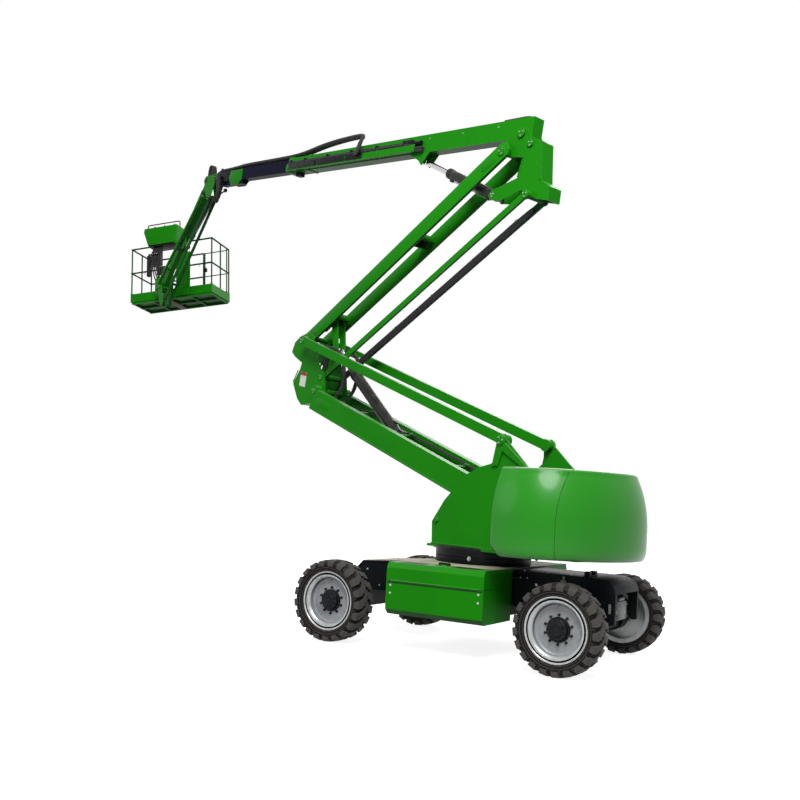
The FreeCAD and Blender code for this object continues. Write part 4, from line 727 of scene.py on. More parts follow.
@dataclass(frozen=True)
class Wheel:
    """Lugged tyre, dished disc, planetary hub and wheel nuts of one wheel.

    Attributes:
        tag: Which wheel, such as front_left.
        side: 1 on the machine's left and -1 on its right.
        radius: Radius over the lugs.
        half: Half the tyre's width; not used.
        groove: Depth between the lugs.
        lugs: Number of lugs in each of the two rows.
        bead: Radius at the tyre's inner edge.
        disc: Height of the disc's outer face above the tyre's middle.
        well: Radius inside the rim's well.
        flange: Radius of the rim's flange.
        edge: Height of the flange's outer face.
        nuts: Number of wheel nuts.
    """

    tag: str
    side: int
    radius: float = 0.465
    half: float = 0.16
    groove: float = 0.032
    lugs: int = 21
    bead: float = 0.3005
    disc: float = 0.026
    well: float = 0.2895
    flange: float = 0.334
    edge: float = 0.122
    nuts: int = 10

    def build(self, layout: Layout) -> None:
        """Make the wheel's pieces.

        Args:
            layout: The machine's frames.
        """
        body = "wheel_" + self.tag
        centre = layout.at(f"{body}_spin")
        frame = axes(centre, Vector((self.side, 0, 0)), Vector((0, self.side, 0)))
        self._tyre(frame, body)
        self._rim(frame, body)
        self._hub(frame, body)

    def _tyre(self, frame: Matrix, body: str) -> None:
        """Make the carcass with two rows of staggered lugs.

        Args:
            frame: Frame of the body it rides on.
            body: Name of that body.
        """
        crown, lip = self.radius - self.groove, self.flange + 0.0015
        tyre = Shape(frame)
        half_profile = [(self.edge - 0.001, lip), (self.edge + 0.01, lip + 0.004), (0.142, 0.362),
            (0.15, 0.385), (0.151, 0.405), (0.146, 0.422), (0.132, crown - 0.003), (0.1, crown)]
        profile = [(self.edge - 0.014, self.bead), *half_profile,
            *[(-height, radius) for height, radius in reversed(half_profile)],
            (0.014 - self.edge, self.bead)]
        tyre.turned(profile, sides=84)
        # Painted shade: the carcass between the lugs is near black, for the shade in the grooves.
        piece = tyre.piece("carcass_" + self.tag, CARCASS_PAINTED_SHADE, body, 28)
        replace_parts(piece, "tyre_" + self.tag)
        tread = Shape(frame)
        for row in (1, -1):
            for index in range(self.lugs):
                self._lug(tread, row, 2 * math.pi * (index + (0.5 if row < 0 else 0.0)) / self.lugs)
        tread.piece("tread_" + self.tag, RUBBER, body, 28)
        wall = Shape(frame)
        for radius, height in ((0.3475, 0.1345), (0.3745, 0.1468)):
            for way in (1, -1):
                wall.turned([(way * (height - 0.004), radius - 0.005),
                    (way * (height + 0.002), radius - 0.002), (way * (height + 0.002), radius + 0.002),
                    (way * (height - 0.002), radius + 0.005)], sides=72)
        for index in range(36):
            angle = 2 * math.pi * index / 36
            for way in (1, -1):
                for radius, depth in ((0.392, 0.1525), (0.408, 0.152)):
                    spread = 0.5 * (index % 2)
                    x, z = radius * math.cos(angle + 0.05 * spread), radius * math.sin(angle + 0.05
                        * spread)
                    wall.rod((x, way * (depth - 0.006), z), (x, way * (depth + 0.001), z), 0.006, sides=6)
        wall.piece("sidewall_rings_" + self.tag, RUBBER, body)

    def _lug(self, tyre: Shape, row: int, start: float) -> None:
        """Add one lug, which sweeps back from the middle, straightens and wraps the shoulder.

        Args:
            tyre: Shape that takes the lug.
            row: Which row: 1 or -1.
            start: Angle of the lug's root.
        """
        crown = self.radius - self.groove
        stations = [(-0.006, 0.0, 0.078, self.radius), (0.026, 0.014, 0.078, self.radius),
            (0.03, 0.04, 0.078, self.radius), (0.078, 0.052, 0.08, self.radius - 0.001),
            (0.082, 0.066, 0.086, self.radius - 0.002), (0.128, 0.074, 0.088, self.radius - 0.006),
            (0.15, 0.076, 0.088, self.radius - 0.014), (0.1585, 0.077, 0.086, self.radius - 0.028),
            (0.1598, 0.078, 0.078, self.radius - 0.058)]
        sections = []
        for height, back, width, top in stations:
            low = min(crown, top) - 0.012
            ring = []
            for radius, narrow in ((low, 0.0), (top - 0.004, 0.0), (top, 0.004)):
                for edge in (-0.5, 0.5):
                    angle = start + (back + edge * (width - 2 * narrow)) / self.radius
                    ring.append(Vector((radius * math.cos(angle), row * height, radius * math.sin(angle))))
            sections.append([ring[corner] for corner in (0, 2, 4, 5, 3, 1)])
        tyre.loft(sections)

    def _rim(self, frame: Matrix, body: str) -> None:
        """Make the rim's stepped outer ring and the deep disc inside it.

        Args:
            frame: Frame of the body it rides on.
            body: Name of that body.
        """
        face, r = self.disc + 0.0015, self.well
        ring = Shape(frame)
        ring.turned([(self.edge, self.flange), (self.edge + 0.006, self.flange - 0.003),
            (self.edge + 0.006, self.flange - 0.014), (self.edge - 0.004, self.flange - 0.024),
            (self.edge - 0.01, 0.3), (self.edge - 0.012, 0.292), (self.edge - 0.006, 0.288),
            (self.edge - 0.008, 0.276), (self.edge - 0.018, 0.262), (self.edge - 0.026, 0.256),
            (self.edge - 0.03, 0.262), (self.edge - 0.03, r), (self.edge - 0.004, r),
            (self.edge, r + 0.006)], sides=80)
        ring.piece("rim_ring_" + self.tag, SILVER, body, 25)
        # Painted shade: the dish is darker than the rim's ring, for the shade inside the deep rim.
        dish = Shape(frame)
        dish.turned([(self.edge - 0.0305, 0.2585), (0.06, 0.2565), (0.044, 0.252), (face + 0.008, 0.24),
            (face + 0.004, 0.222), (face + 0.01, 0.16), (face + 0.013, 0.128), (face, 0.128), (face, r),
            (self.edge - 0.0305, r)], sides=80)
        dish.piece("dish_" + self.tag, DISH_PAINTED_SHADE, body)
        stem = [(0.0, 0.045, 0.236), (0.0, 0.065, 0.236), (0.0, 0.078, 0.229)]
        hoses("valve_" + self.tag, frame, 0.004, [stem], body, SATIN_BLACK)

    def _hub(self, frame: Matrix, body: str) -> None:
        """Make the planetary hub's cover and the wheel nuts.

        Args:
            frame: Frame of the body it rides on.
            body: Name of that body.
        """
        face = self.disc + 0.0015
        hub = Shape(frame)
        hub.turned([(face, 0.0), (face, 0.1275), (face + 0.022, 0.1275), (face + 0.03, 0.122),
            (face + 0.032, 0.112), (0.066, 0.108), (0.088, 0.104), (0.094, 0.096), (0.098, 0.074),
            (0.108, 0.066), (0.112, 0.052), (0.112, 0.0)], sides=56)
        hub.bolts((0, 0.095, 0), (0, 1, 0), 0.087, 9, 0.009, 0.009)
        hub.rod((0, 0.111, 0), (0, 0.119, 0), 0.016, 0.014, sides=6)
        hub.block((-0.03, 0.111, -0.04), (0.012, 0.116, -0.031), 0.001)
        hub.piece("hub_cover_" + self.tag, SATIN_BLACK, body)
        nuts = Shape(frame)
        for step in range(self.nuts):
            angle = 2 * math.pi * (step + 0.5) / self.nuts
            x, z = 0.146 * math.cos(angle), 0.146 * math.sin(angle)
            nuts.rod((x, face + 0.009, z), (x, face + 0.014, z), 0.0165, 0.015, sides=16)
            nuts.rod((x, face + 0.013, z), (x, face + 0.03, z), 0.0125, sides=6)
            nuts.rod((x, face + 0.03, z), (x, face + 0.04, z), 0.007, sides=10)
        nuts.piece("wheel_nuts_" + self.tag, PLASTIC, body)


@dataclass(frozen=True)
class Chassis:
    """Deck plates, bolts, lugs, rear channel and motor of the chassis and its side boxes.

    Attributes:
        box_half: Half the side boxes' length.
        inner: Inner face of a side box.
        outer: Outer face of a side box.
        deck: Height of the deck.
        seam: Height of the lid's seam.
        lid_width: Width of the lid on top.
        reach: Half the chassis's length.
        end_high: Height of an end's top plate.
        bend: Distance at which the top plate bends down.
        end_half: Half width of an end.
    """

    box_half: float = 0.59
    inner: float = 0.4703
    outer: float = 1.175
    deck: float = 0.976
    seam: float = 0.777
    lid_width: float = 0.26
    reach: float = 1.633
    end_high: float = 0.9
    bend: float = 1.423
    end_half: float = 0.394

    def build(self, layout: Layout) -> None:
        """Make the chassis's pieces.

        Args:
            layout: The machine's frames.
        """
        ground = layout.ground
        self._tops(ground)
        self._deck(ground)
        self._fasteners(ground)
        for side, word in SIDES:
            self._box(ground @ Matrix.Rotation(0 if side > 0 else math.pi, 4, "Z"), word)
        self._ends(ground)

    def _tops(self, ground: Matrix) -> None:
        """Cover the front end's top plate with its pale bent sheet.

        Args:
            ground: The ground's frame.
        """
        half, lift = self.end_half - 0.008, 0.0015
        slope = (0.956 - self.end_high) / (self.bend - 0.58)
        start = (0.6, 0.956 - slope * 0.02 + lift)
        sheet = Shape(ground)
        sheet.plate([start, (self.bend - 0.004, self.end_high + lift), (1.601, 0.7105 + lift),
            (1.603, 0.7115 + lift * 2), (self.bend, self.end_high + lift * 2 + 0.001),
            (start[0], start[1] + 0.0025)], -half, half)
        sheet.piece("front_top_sheet", BEIGE, "chassis")

    def _deck(self, ground: Matrix) -> None:
        """Lay the pale deck round the slewing ring and on the boxes.

        Args:
            ground: The ground's frame.
        """
        top, ring = self.deck + 0.0025, 0.462
        half_x, half_y = self.box_half - 0.006, self.inner - 0.008
        plate = Shape(ground)
        steps = 64
        loops: list[list[bmesh.types.BMVert]] = []
        for height in (self.deck, top):
            inner, outer = [], []
            for step in range(steps):
                angle = 2 * math.pi * step / steps
                c, s = math.cos(angle), math.sin(angle)
                reach = max(min(half_x / max(abs(c), 1e-6), half_y / max(abs(s), 1e-6)), ring + 0.0005)
                inner.append(plate.mesh.verts.new((ring * c, ring * s, height)))
                outer.append(plate.mesh.verts.new((reach * c, reach * s, height)))
            loops += [inner, outer]
        low_in, low_out, high_in, high_out = loops
        for step in range(steps):
            after = (step + 1) % steps
            for a, b in ((high_in, high_out), (low_out, low_in), (high_out, low_out), (low_in, high_in)):
                plate.mesh.faces.new((a[step], b[step], b[after], a[after]))
        plate.piece("deck_plate", BEIGE, "chassis")
        for side, word in SIDES:
            y = span(side, self.inner + 0.006, self.outer - self.lid_width - 0.008)
            Shape(ground).block((0.01 - self.box_half, y[0], self.deck + 0.0003),
                (self.box_half - 0.01, y[1], top), 0.001).piece(f"box_deck_{word}", BEIGE, "chassis")

    def _box(self, frame: Matrix, word: str) -> None:
        """Make one side box's handle, bolts, drip rail and treads.

        Args:
            frame: Frame of the body it rides on.
            word: The side's name.
        """
        x, edge, top = self.box_half, self.outer - self.lid_width, self.deck
        grip = Shape(frame)
        grip.block((-0.062, edge + 0.014, top + 0.012), (0.062, edge + 0.052, top + 0.03), 0.005)
        for sign in (-1, 1):
            grip.block((sign * 0.05 - 0.014, edge + 0.008, top - 0.002),
                (sign * 0.05 + 0.014, edge + 0.058, top + 0.022), 0.004)
            grip.bolt((sign * 0.05, edge + 0.0585, top + 0.008), (0, 1, 0), 0.005, 0.004)
        grip.piece(f"lid_handle_{word}", SATIN_BLACK, f"lid_{word}")
        bolts = Shape(frame)
        for sign in (-1, 1):
            for z in (self.seam - 0.05, self.seam - 0.135):
                bolts.bolt((sign * (x - 0.055), self.outer, z), (0, 1, 0), 0.009, 0.007)
        bolts.piece(f"box_bolts_{word}", STEEL, "chassis")
        rail = Shape(frame)
        rail.block((0.012 - x, self.outer - 0.002, self.seam - 0.0235),
            (x - 0.012, self.outer + 0.004, self.seam - 0.0125), 0.002)
        rail.piece(f"box_seam_rail_{word}", SATIN_BLACK, "chassis")
        tread = Shape(frame)
        for sign in (-1, 1):
            tread.block((sign * 0.33 - 0.15, edge + 0.03, top - 0.0005),
                (sign * 0.33 + 0.15, self.outer - 0.062, top + 0.002), 0.001)
        tread.piece(f"lid_tread_{word}", SATIN_BLACK, f"lid_{word}")

    def _fasteners(self, ground: Matrix) -> None:
        """Bolt the gussets, the top plates and the side plates of both ends.

        Args:
            ground: The ground's frame.
        """
        bolts = Shape(ground)
        for way in (-1, 1):
            for side in (-1, 1):
                for along in (0.66, 0.74):
                    bolts.bolt((way * along, side * 0.405, self.end_high - 0.016), (0, 0, 1), 0.009, 0.008)
                for along in (0.68, 0.95, 1.22, 1.38):
                    z = 0.956 if way < 0 else 0.956 - (along - 0.58) * 0.0664 + 0.004
                    bolts.bolt((way * along, side * 0.345, z), (0, 0, 1), 0.009, 0.008)
                for along, z in ((0.72, 0.64), (0.84, 0.82), (1.18, 0.62), (1.36, 0.8), (1.5, 0.63),
                        (1.5, 0.72)):
                    bolts.bolt((way * along, side * 0.38, z), (0, side, 0), 0.01, 0.008)
        bolts.piece("chassis_bolts", STEEL, "chassis")

    def _ends(self, ground: Matrix) -> None:
        """Add the tie-down lugs, the rear lamps and the drive motor's bolts and hoses.

        Args:
            ground: The ground's frame.
        """
        iron = Shape(ground)
        for way in (-1, 1):
            for side in (-1, 1):
                y = side * 0.3
                iron.plate([(way * (self.reach - 0.04), 0.575), (way * (self.reach - 0.002), 0.575),
                    (way * (self.reach - 0.002), 0.64), (way * (self.reach - 0.04), 0.66)], y - 0.012,
                    y + 0.012, bevel=0.003)
        iron.piece("tie_down_lugs", CHASSIS, "chassis")
        lamp = Shape(ground)
        lamp.block((-1.42, 0.06, 0.956), (-1.36, 0.36, 0.968), 0.004)
        lamp.block((-1.42, 0.08, 0.965), (-1.36, 0.16, 1.01), 0.008)
        lamp.block((-1.42, 0.26, 0.965), (-1.36, 0.34, 1.01), 0.008)
        lamp.piece("rear_lamps", SATIN_BLACK, "chassis")
        self._rear(ground)
        motor = Shape(ground)
        motor.bolts((-1.199, 0.0, 0.6475), (1, 0, 0), 0.05, 6, 0.007, 0.006)
        for y in (-0.13, 0.13):
            for x in (-1.54, -1.35):
                motor.bolt((x, y, 0.7223), (0, 0, 1), 0.01, 0.009)
        motor.piece("motor_bolts", STEEL, "chassis")
        hoses("motor_hoses", ground, 0.014, [[(-1.26, 0.04, 0.7), (-1.25, 0.05, 0.79), (-1.12, 0.07, 0.83),
            (-0.85, 0.08, 0.84), (-0.62, 0.08, 0.84)], [(-1.26, -0.04, 0.7), (-1.25, -0.05, 0.77),
            (-1.12, -0.06, 0.8), (-0.85, -0.05, 0.81), (-0.62, -0.05, 0.81)]], "chassis")

    def _rear(self, ground: Matrix) -> None:
        """Make the open channel over the rear end, its brackets and the drive motor's housing.

        Args:
            ground: The ground's frame.
        """
        half, back = self.end_half, 1.735
        cheek = [(-0.62, 0.955), (-1.5, 0.955), (-1.6, 0.944), (-1.68, 0.912), (-1.72, 0.86), (-back, 0.8),
            (-back, 0.5), (-1.7, 0.478), (-1.66, 0.478), (-1.63, 0.52), (-1.62, 0.74), (-1.45, 0.86),
            (-0.62, 0.86)]
        frame = Shape(ground)
        for side in (-1, 1):
            low, high = span(side, half + 0.0005, half + 0.0125)
            frame.plate(cheek, low, high, bevel=0.002)
        top = [(-0.6, 0.957), (-1.5, 0.957), (-1.6, 0.946), (-1.68, 0.914), (-1.72, 0.862), (-back, 0.8),
            (-1.725, 0.8), (-1.711, 0.858), (-1.673, 0.905), (-1.597, 0.936), (-1.498, 0.947),
            (-0.6, 0.947)]
        frame.plate(top, -half - 0.012, half + 0.012, bevel=0.001)
        for side in (-1, 1):
            frame.block((-1.735, side * 0.374 - 0.018, 0.49), (-1.725, side * 0.374 + 0.018, 0.8), 0.002)
            frame.rod((-1.66, side * (half + 0.012), 0.8), (-1.66, side * (half + 0.02), 0.8), 0.024)
            frame.rod((-1.56, side * (half + 0.012), 0.905), (-1.56, side * (half + 0.02), 0.905), 0.017)
        frame.piece("rear_channel", CHASSIS, "chassis")
        slots = Shape(ground)
        for side in (-1, 1):
            low, high = span(side, half + 0.0126, half + 0.0136)
            slots.block((-1.69, low, 0.6), (-1.665, high, 0.7), 0.0004)
        slots.piece("rear_channel_slots", ENGINE, "chassis")
        motor = Shape(ground)
        motor.block((-1.715, -0.06, 0.515), (-1.615, 0.215, 0.715), 0.022)
        motor.block((-1.7, -0.02, 0.715), (-1.63, 0.16, 0.75), 0.012)
        motor.rod((-1.65, 0.215, 0.6), (-1.65, 0.285, 0.6), 0.055)
        for y in (-0.03, 0.18):
            for z in (0.55, 0.68):
                motor.bolt((-1.7155, y, z), (-1, 0, 0), 0.01, 0.009)
        motor.piece("motor_housing", ENGINE, "chassis")
        fitting = Shape(ground)
        fitting.block((-1.2, half + 0.012, 0.86), (-1.14, half + 0.05, 0.9), 0.004)
        fitting.rod((-1.17, half + 0.032, 0.9), (-1.17, half + 0.032, 0.945), 0.013)
        fitting.block((0.64, 0.41, 0.78), (0.72, 0.53, 0.9), 0.006)
        fitting.piece("line_fittings", CLAMP, "chassis")


# --- Turntable and hoods --------------------------------------------------------------------


@dataclass(frozen=True)
class Turntable:
    """Lips, pin retainers, gear ring, skirts and hydraulics of the turntable.

    Attributes:
        plate: Outer face of a side plate.
        foot: Height of the side plates' foot.
        front: Front end of the side plates.
        rear: Rear end of the side plates.
        link_pin: Place of the links' pin.
        arm_pin: Place of the arm's pin.
    """

    plate: float = 0.404
    foot: float = 1.1653
    front: float = 0.476
    rear: float = -1.04
    link_pin: Flat = (-0.59, 2.38)
    arm_pin: Flat = (-0.87, 1.637)

    def build(self, layout: Layout) -> None:
        """Make the turntable's pieces.

        Args:
            layout: The machine's frames.
        """
        frame = layout.turntable
        for side, word in SIDES:
            lip = Shape(frame)
            y = span(side, self.plate, self.plate + 0.018)
            lip.block((self.rear + 0.01, y[0], self.foot), (self.front - 0.005, y[1], self.foot + 0.014),
                0.004)
            lip.piece(f"base_lip_{word}", GREEN, "turntable")
            caps = Shape(frame)
            face = side * (self.plate + 0.0298)
            caps.button(0.058, 0.006, 0.004, (self.link_pin[0], face, self.link_pin[1]), (0, side, 0), 40)
            face = side * self.plate
            caps.turned([(0.0, 0.0), (0.0, 0.078), (0.01, 0.072), (0.014, 0.05), (0.014, 0.0)],
                (self.arm_pin[0], face, self.arm_pin[1]), (0, side, 0), 40)
            caps.button(0.03, 0.022, 0.004, (0.4, face, 1.443), (0, side, 0), 32)
            caps.piece(f"pin_retainers_{word}", GREEN, "turntable")
            bolts = Shape(frame)
            bolts.bolts((self.link_pin[0], side * (self.plate + 0.0355), self.link_pin[1]), (0, side, 0),
                0.036, 3, 0.008)
            bolts.bolts((self.arm_pin[0], side * (self.plate + 0.013), self.arm_pin[1]), (0, side, 0),
                0.034, 3, 0.009)
            bolts.bolt((0.44, side * 0.38, 1.1355), (0, 0, -1), 0.016, 0.016)
            bolts.bolt((-0.33, side * 0.5625, 1.05), (0, side, 0), 0.02, 0.016)
            bolts.piece(f"turntable_bolts_{word}", STEEL, "turntable")
        self._gear(layout.ground, frame)
        self._front(frame)
        skirt = Shape(frame)
        skirt.turned([(1.06, 0.53), (1.06, 0.56), (1.152, 0.56), (1.16, 0.552), (1.1645, 0.535),
            (1.1645, 0.44), (1.156, 0.44), (1.156, 0.53)], (0, 0, 0), (0, 0, 1), 72)
        skirt.piece("ring_skirt", SATIN_BLACK, "turntable")
        guard = Shape(layout.ground)
        guard.turned([(0.98, 0.475), (0.98, 0.552), (0.99, 0.558), (1.05, 0.558), (1.05, 0.55),
            (0.992, 0.545), (0.99, 0.475)], (0, 0, 0), (0, 0, 1), 72)
        guard.piece("ring_guard", SATIN_BLACK, "chassis")

    @staticmethod
    def _gear(ground: Matrix, frame: Matrix) -> None:
        """Make the slewing ring's teeth and the pinion that drives it.

        Args:
            ground: The ground's frame.
            frame: Frame of the body it rides on.
        """
        Shape(ground).plate(toothed(96, 0.4552, 0.47), 1.012, 1.086, "XY").piece("gear_ring", SATIN_BLACK,
            "chassis", 20)
        drive = Shape(frame)
        drive.plate(toothed(16, 0.052, 0.066, (0.537, 0.06)), 1.02, 1.09, "XY")
        drive.rod((0.452, 0.06, 1.166), (0.452, 0.06, 1.235), 0.07)
        drive.rod((0.452, 0.06, 1.235), (0.452, 0.06, 1.36), 0.058, 0.05)
        drive.piece("slew_drive", SATIN_BLACK, "turntable", 20)

    def _front(self, frame: Matrix) -> None:
        """Add the hydraulic valve bank and the hose bundle between the side plates.

        Args:
            frame: Frame of the body it rides on.
        """
        bank = Shape(frame)
        bank.block((-0.1, -0.2, self.foot + 0.002), (0.12, 0.2, self.foot + 0.13), 0.006)
        places = [-0.165 + index * 0.066 for index in range(6)]
        for y in places:
            bank.rod((0.12, y, self.foot + 0.07), (0.175, y, self.foot + 0.07), 0.02)
        bank.piece("valve_bank", ENGINE, "turntable")
        hoses("valve_hoses", frame, 0.011, [[(0.01, y, self.foot + 0.12), (0.0, y, self.foot + 0.19),
            (-0.16, y * 0.8, self.foot + 0.2), (-0.46, y * 0.5, self.foot + 0.12),
            (-0.74, y * 0.4, self.foot + 0.06)] for y in places], "turntable")


@dataclass(frozen=True)
class TailForm:
    """Oval plan, tucked foot and round shoulder that the hoods and the tail block share.

    Attributes:
        front: Distance of the hoods' front faces behind the slewing axis.
        straight: Distance at which the straight sides end.
        seam: Distance of the seam between hoods and tail block.
        end: Distance of the tail's end.
        half: Half the width.
        power: Power of the superellipse that rounds the end.
        foot: Height of the foot.
        top: Height of the top.
        shoulder: Height at which the shoulder starts.
        inset: How far the shoulder draws in.
        radius: Radius of the top's edge.
        tuck: How far the foot draws in.
        rise: How far the hoods' front bottom corners rise.
        wall: Thickness of the hoods.
        inner: Distance of the hoods' inner edges from the middle.
    """

    front: float = 1.05
    straight: float = 1.1
    seam: float = 1.7
    end: float = 1.965
    half: float = 1.0
    power: float = 2.2
    foot: float = 1.15
    top: float = 2.065
    shoulder: float = 1.46
    inset: float = 0.115
    radius: float = 0.035
    tuck: float = 0.035
    rise: float = 0.09
    wall: float = 0.008
    inner: float = 0.43

    def levels(self) -> list[Flat]:
        """Return pairs of a height and the inset at it, from foot to top.

        Returns:
            The pairs.
        """
        rows = [(self.foot, self.tuck), (self.foot + 0.012, self.tuck * 0.7),
            (self.foot + 0.035, self.tuck * 0.38), (self.foot + 0.075, self.tuck * 0.12),
            (self.foot + 0.13, 0.0), (self.shoulder, 0.0)]
        rim = self.top - self.radius
        for step in range(1, 13):
            share = step / 12
            rows.append((self.shoulder + (rim - self.shoulder) * share, self.inset * share ** 2.2))
        for step in range(1, 7):
            angle = math.radians(15 * step)
            rows.append((rim + self.radius * math.sin(angle),
                self.inset + self.radius * (1.3 - math.cos(angle)) - 0.3 * self.radius * math.cos(angle)))
        return rows

    def side(self, back: float, inset: float) -> float:
        """Return the half width at a distance behind the axis.

        Args:
            back: The distance.
            inset: How far the outline is drawn in.

        Returns:
            The half width.
        """
        share = min(max(0.0, (back - self.straight) / (self.end - inset - self.straight)), 1.0)
        return (self.half - inset) * (1 - share ** self.power) ** (1 / self.power)

    def lifted(self, height: float, back: float) -> float:
        """Return a height with the rise of the hood's front corner.

        Args:
            height: The height.
            back: Distance behind the axis.

        Returns:
            The lifted height.
        """
        share = max(0.0, 1 - (back - self.front) / 0.12)
        foot = self.foot + self.rise * share ** 2
        bend = self.foot + 0.13
        return height if height >= bend else foot + (height - self.foot) * (bend - foot) / (bend
            - self.foot)


@dataclass(frozen=True)
class Tail:
    """Tail block with its tongue, the two hoods and what they cover."""

    form: TailForm = TailForm()
    gap: float = 0.0025

    def build(self, layout: Layout) -> None:
        """Make the tail's pieces.

        Args:
            layout: The machine's frames.
        """
        frame = layout.turntable
        self._block(frame)
        for side, word, held in ((1, "left", "hood_left"), (-1, "right", "hood_right")):
            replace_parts(self._hood(frame, side, word), held)
        self._engine(frame)
        self._tanks(frame)

    def _ring(self, back: float, inset: float, count: int = 40) -> list[Flat]:
        """Return the plan of the tail block's outline at one inset, from left to right.

        Args:
            back: Distance behind the slewing axis where it starts.
            inset: Distance inside the largest outline.
            count: Number of points.

        Returns:
            The outline, from left to right.
        """
        form = self.form
        reach = form.end - inset - form.straight
        first = math.acos(((back - form.straight) / reach) ** (form.power / 2))
        ring = []
        for step in range(count + 1):
            angle = first * (1 - 2 * step / count)
            x = form.straight + reach * math.cos(angle) ** (2 / form.power)
            ring.append((x, math.copysign((form.half - inset) * abs(math.sin(angle)) ** (2 / form.power),
                angle)))
        return ring

    def _block(self, frame: Matrix) -> None:
        """Loft the tail block and set its tongue and hinges.

        Args:
            frame: Frame of the body it rides on.
        """
        form = self.form
        block = Shape(frame)
        block.loft([[(-x, y, height) for x, y in self._ring(form.seam + self.gap, inset)] for height,
            inset in form.levels()])
        block.block((-form.seam - 0.01, -0.376, 1.197), (-1.3, 0.376, 2.035), 0.012)
        for side in (-1, 1):
            y = span(side, 0.372, 0.412)
            block.block((-1.66, y[0], 2.026), (-1.36, y[1], 2.034), 0.001)
        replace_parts(block.piece("tail_block", HOOD_GREEN, "turntable", 40), "counterweight")
        pins = Shape(frame)
        for side in (-1, 1):
            pins.rod((-1.66, side * 0.4197, 2.047), (-1.36, side * 0.4197, 2.047), 0.006)
            for index in range(3):
                x = -1.65 + index * 0.112
                pins.rod((x, side * 0.4197, 2.047), (x + 0.055, side * 0.4197, 2.047), 0.0105)
        pins.piece("hood_hinges", STEEL, "turntable")

    def _hood(self, frame: Matrix, side: int, word: str) -> Piece:
        """Loft one hood as a thin shell with a closed front.

        Args:
            frame: Frame of the body it rides on.
            side: 1 for left, -1 for right.
            word: The side's name.

        Returns:
            The finished hood.
        """
        form = self.form
        hood = Shape(frame)
        corner, steps = 1.18, 14
        stations = [(form.front, 0.01), (form.front + 0.004, 0.004), (form.front + 0.012, 0.0)]
        stations += [(corner - 0.03 * step, 0.0) for step in (3, 2, 1, 0)]
        reach = form.seam - self.gap - corner
        stations += [(corner + reach * step / steps, 0.0) for step in range(1, steps + 1)]
        sections = []
        for back, draw in stations:
            outer, lining = [], []
            for height, inset in form.levels():
                z = form.lifted(height, back)
                y = form.side(back, inset + draw)
                outer.append((y, z))
                lining.append((y - form.wall, min(z, form.top - form.wall)))
            line = outer + [(form.inner, form.top), (form.inner, form.top - form.wall)] + lining[::-1]
            sections.append([(-back, side * y, z) for y, z in line])
        hood.loft(sections)
        face = [(side * form.side(form.front, inset + 0.012),
            form.lifted(height, form.front) + 0.002) for height, inset in form.levels()]
        face += [(side * form.inner, form.top - 0.002), (side * form.inner, form.foot + form.rise + 0.002)]
        hood.plate(face, -form.front - 0.008, -form.front - 0.0005, "YZ")
        return hood.piece(f"hood_shell_{word}", HOOD_GREEN, f"hood_{word}", 40)

    def _tray(self, side: int) -> list[Flat]:
        """Return the plan of the tray under one hood.

        Args:
            side: 1 for left, -1 for right.

        Returns:
            The outline.
        """
        back = [1.09, 1.2, 1.3, 1.4, 1.5, 1.58, 1.65]
        outer = [(-x, side * min(0.93, self.form.side(x, 0.0) - 0.055)) for x in back]
        return outer + [(-back[-1], side * 0.4243), (-back[0], side * 0.4243)]

    def _engine(self, frame: Matrix) -> None:
        """Make the engine under the left hood, on its tray.

        Args:
            frame: Frame of the body it rides on.
        """
        engine = Shape(frame)
        engine.plate(self._tray(1), 1.196, 1.212, "XY", 0.002)
        engine.block((-1.56, 0.47, 1.215), (-1.16, 0.72, 1.5), 0.02)
        engine.block((-1.54, 0.5, 1.49), (-1.2, 0.69, 1.66), 0.03)
        engine.rod((-1.5, 0.6, 1.74), (-1.22, 0.6, 1.74), 0.072)
        engine.rod((-1.16, 0.6, 1.42), (-1.125, 0.6, 1.42), 0.115)
        for index in range(4):
            engine.rod((-1.49 + index * 0.085, 0.71, 1.56), (-1.49 + index * 0.085, 0.765, 1.5), 0.024,
                sides=16)
        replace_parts(engine.piece("engine_block", ENGINE, "turntable"), "engine")

    def _tanks(self, frame: Matrix) -> None:
        """Make the tanks under the right hood, on their tray.

        Args:
            frame: Frame of the body it rides on.
        """
        tanks = Shape(frame)
        tanks.plate(self._tray(-1), 1.196, 1.212, "XY", 0.002)
        tanks.block((-1.36, -0.8, 1.213), (-1.12, -0.47, 1.72), 0.035)
        tanks.block((-1.58, -0.73, 1.213), (-1.385, -0.47, 1.66), 0.035)
        for x, y, z in ((-1.24, -0.62, 1.72), (-1.48, -0.6, 1.66)):
            tanks.rod((x, y, z - 0.01), (x, y, z + 0.018), 0.045)
            tanks.rod((x, y, z + 0.018), (x, y, z + 0.034), 0.036)
        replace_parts(tanks.piece("tank_pair", PLASTIC, "turntable"), "tanks")


# --- Arms -----------------------------------------------------------------------------------


@dataclass(frozen=True)
class PinCap:
    """Round retainer with bolts over a pin's end.

    Attributes:
        x: Place along the frame.
        z: Height in the frame.
        half: Distance of its seat from the middle plane.
        radius: Its radius.
        height: How far it stands out.
    """

    x: float
    z: float
    half: float
    radius: float = 0.06
    height: float = 0.01

    def add(self, plates: Shape, bolts: Shape) -> None:
        """Add both ends' retainers to a shape of plates and one of bolts.

        Args:
            plates: Shape that takes the plates.
            bolts: Shape that takes the bolts.
        """
        for side in (-1, 1):
            seat = (self.x, side * self.half, self.z)
            plates.turned([(0.0, 0.0), (0.0, self.radius), (self.height * 0.6, self.radius),
                (self.height, self.radius - 0.004), (self.height, 0.0)], seat, (0, side, 0), 36)
            bolts.bolts((self.x, side * (self.half + self.height), self.z), (0, side, 0),
                self.radius * 0.55, 3, 0.007, 0.007, start=20)


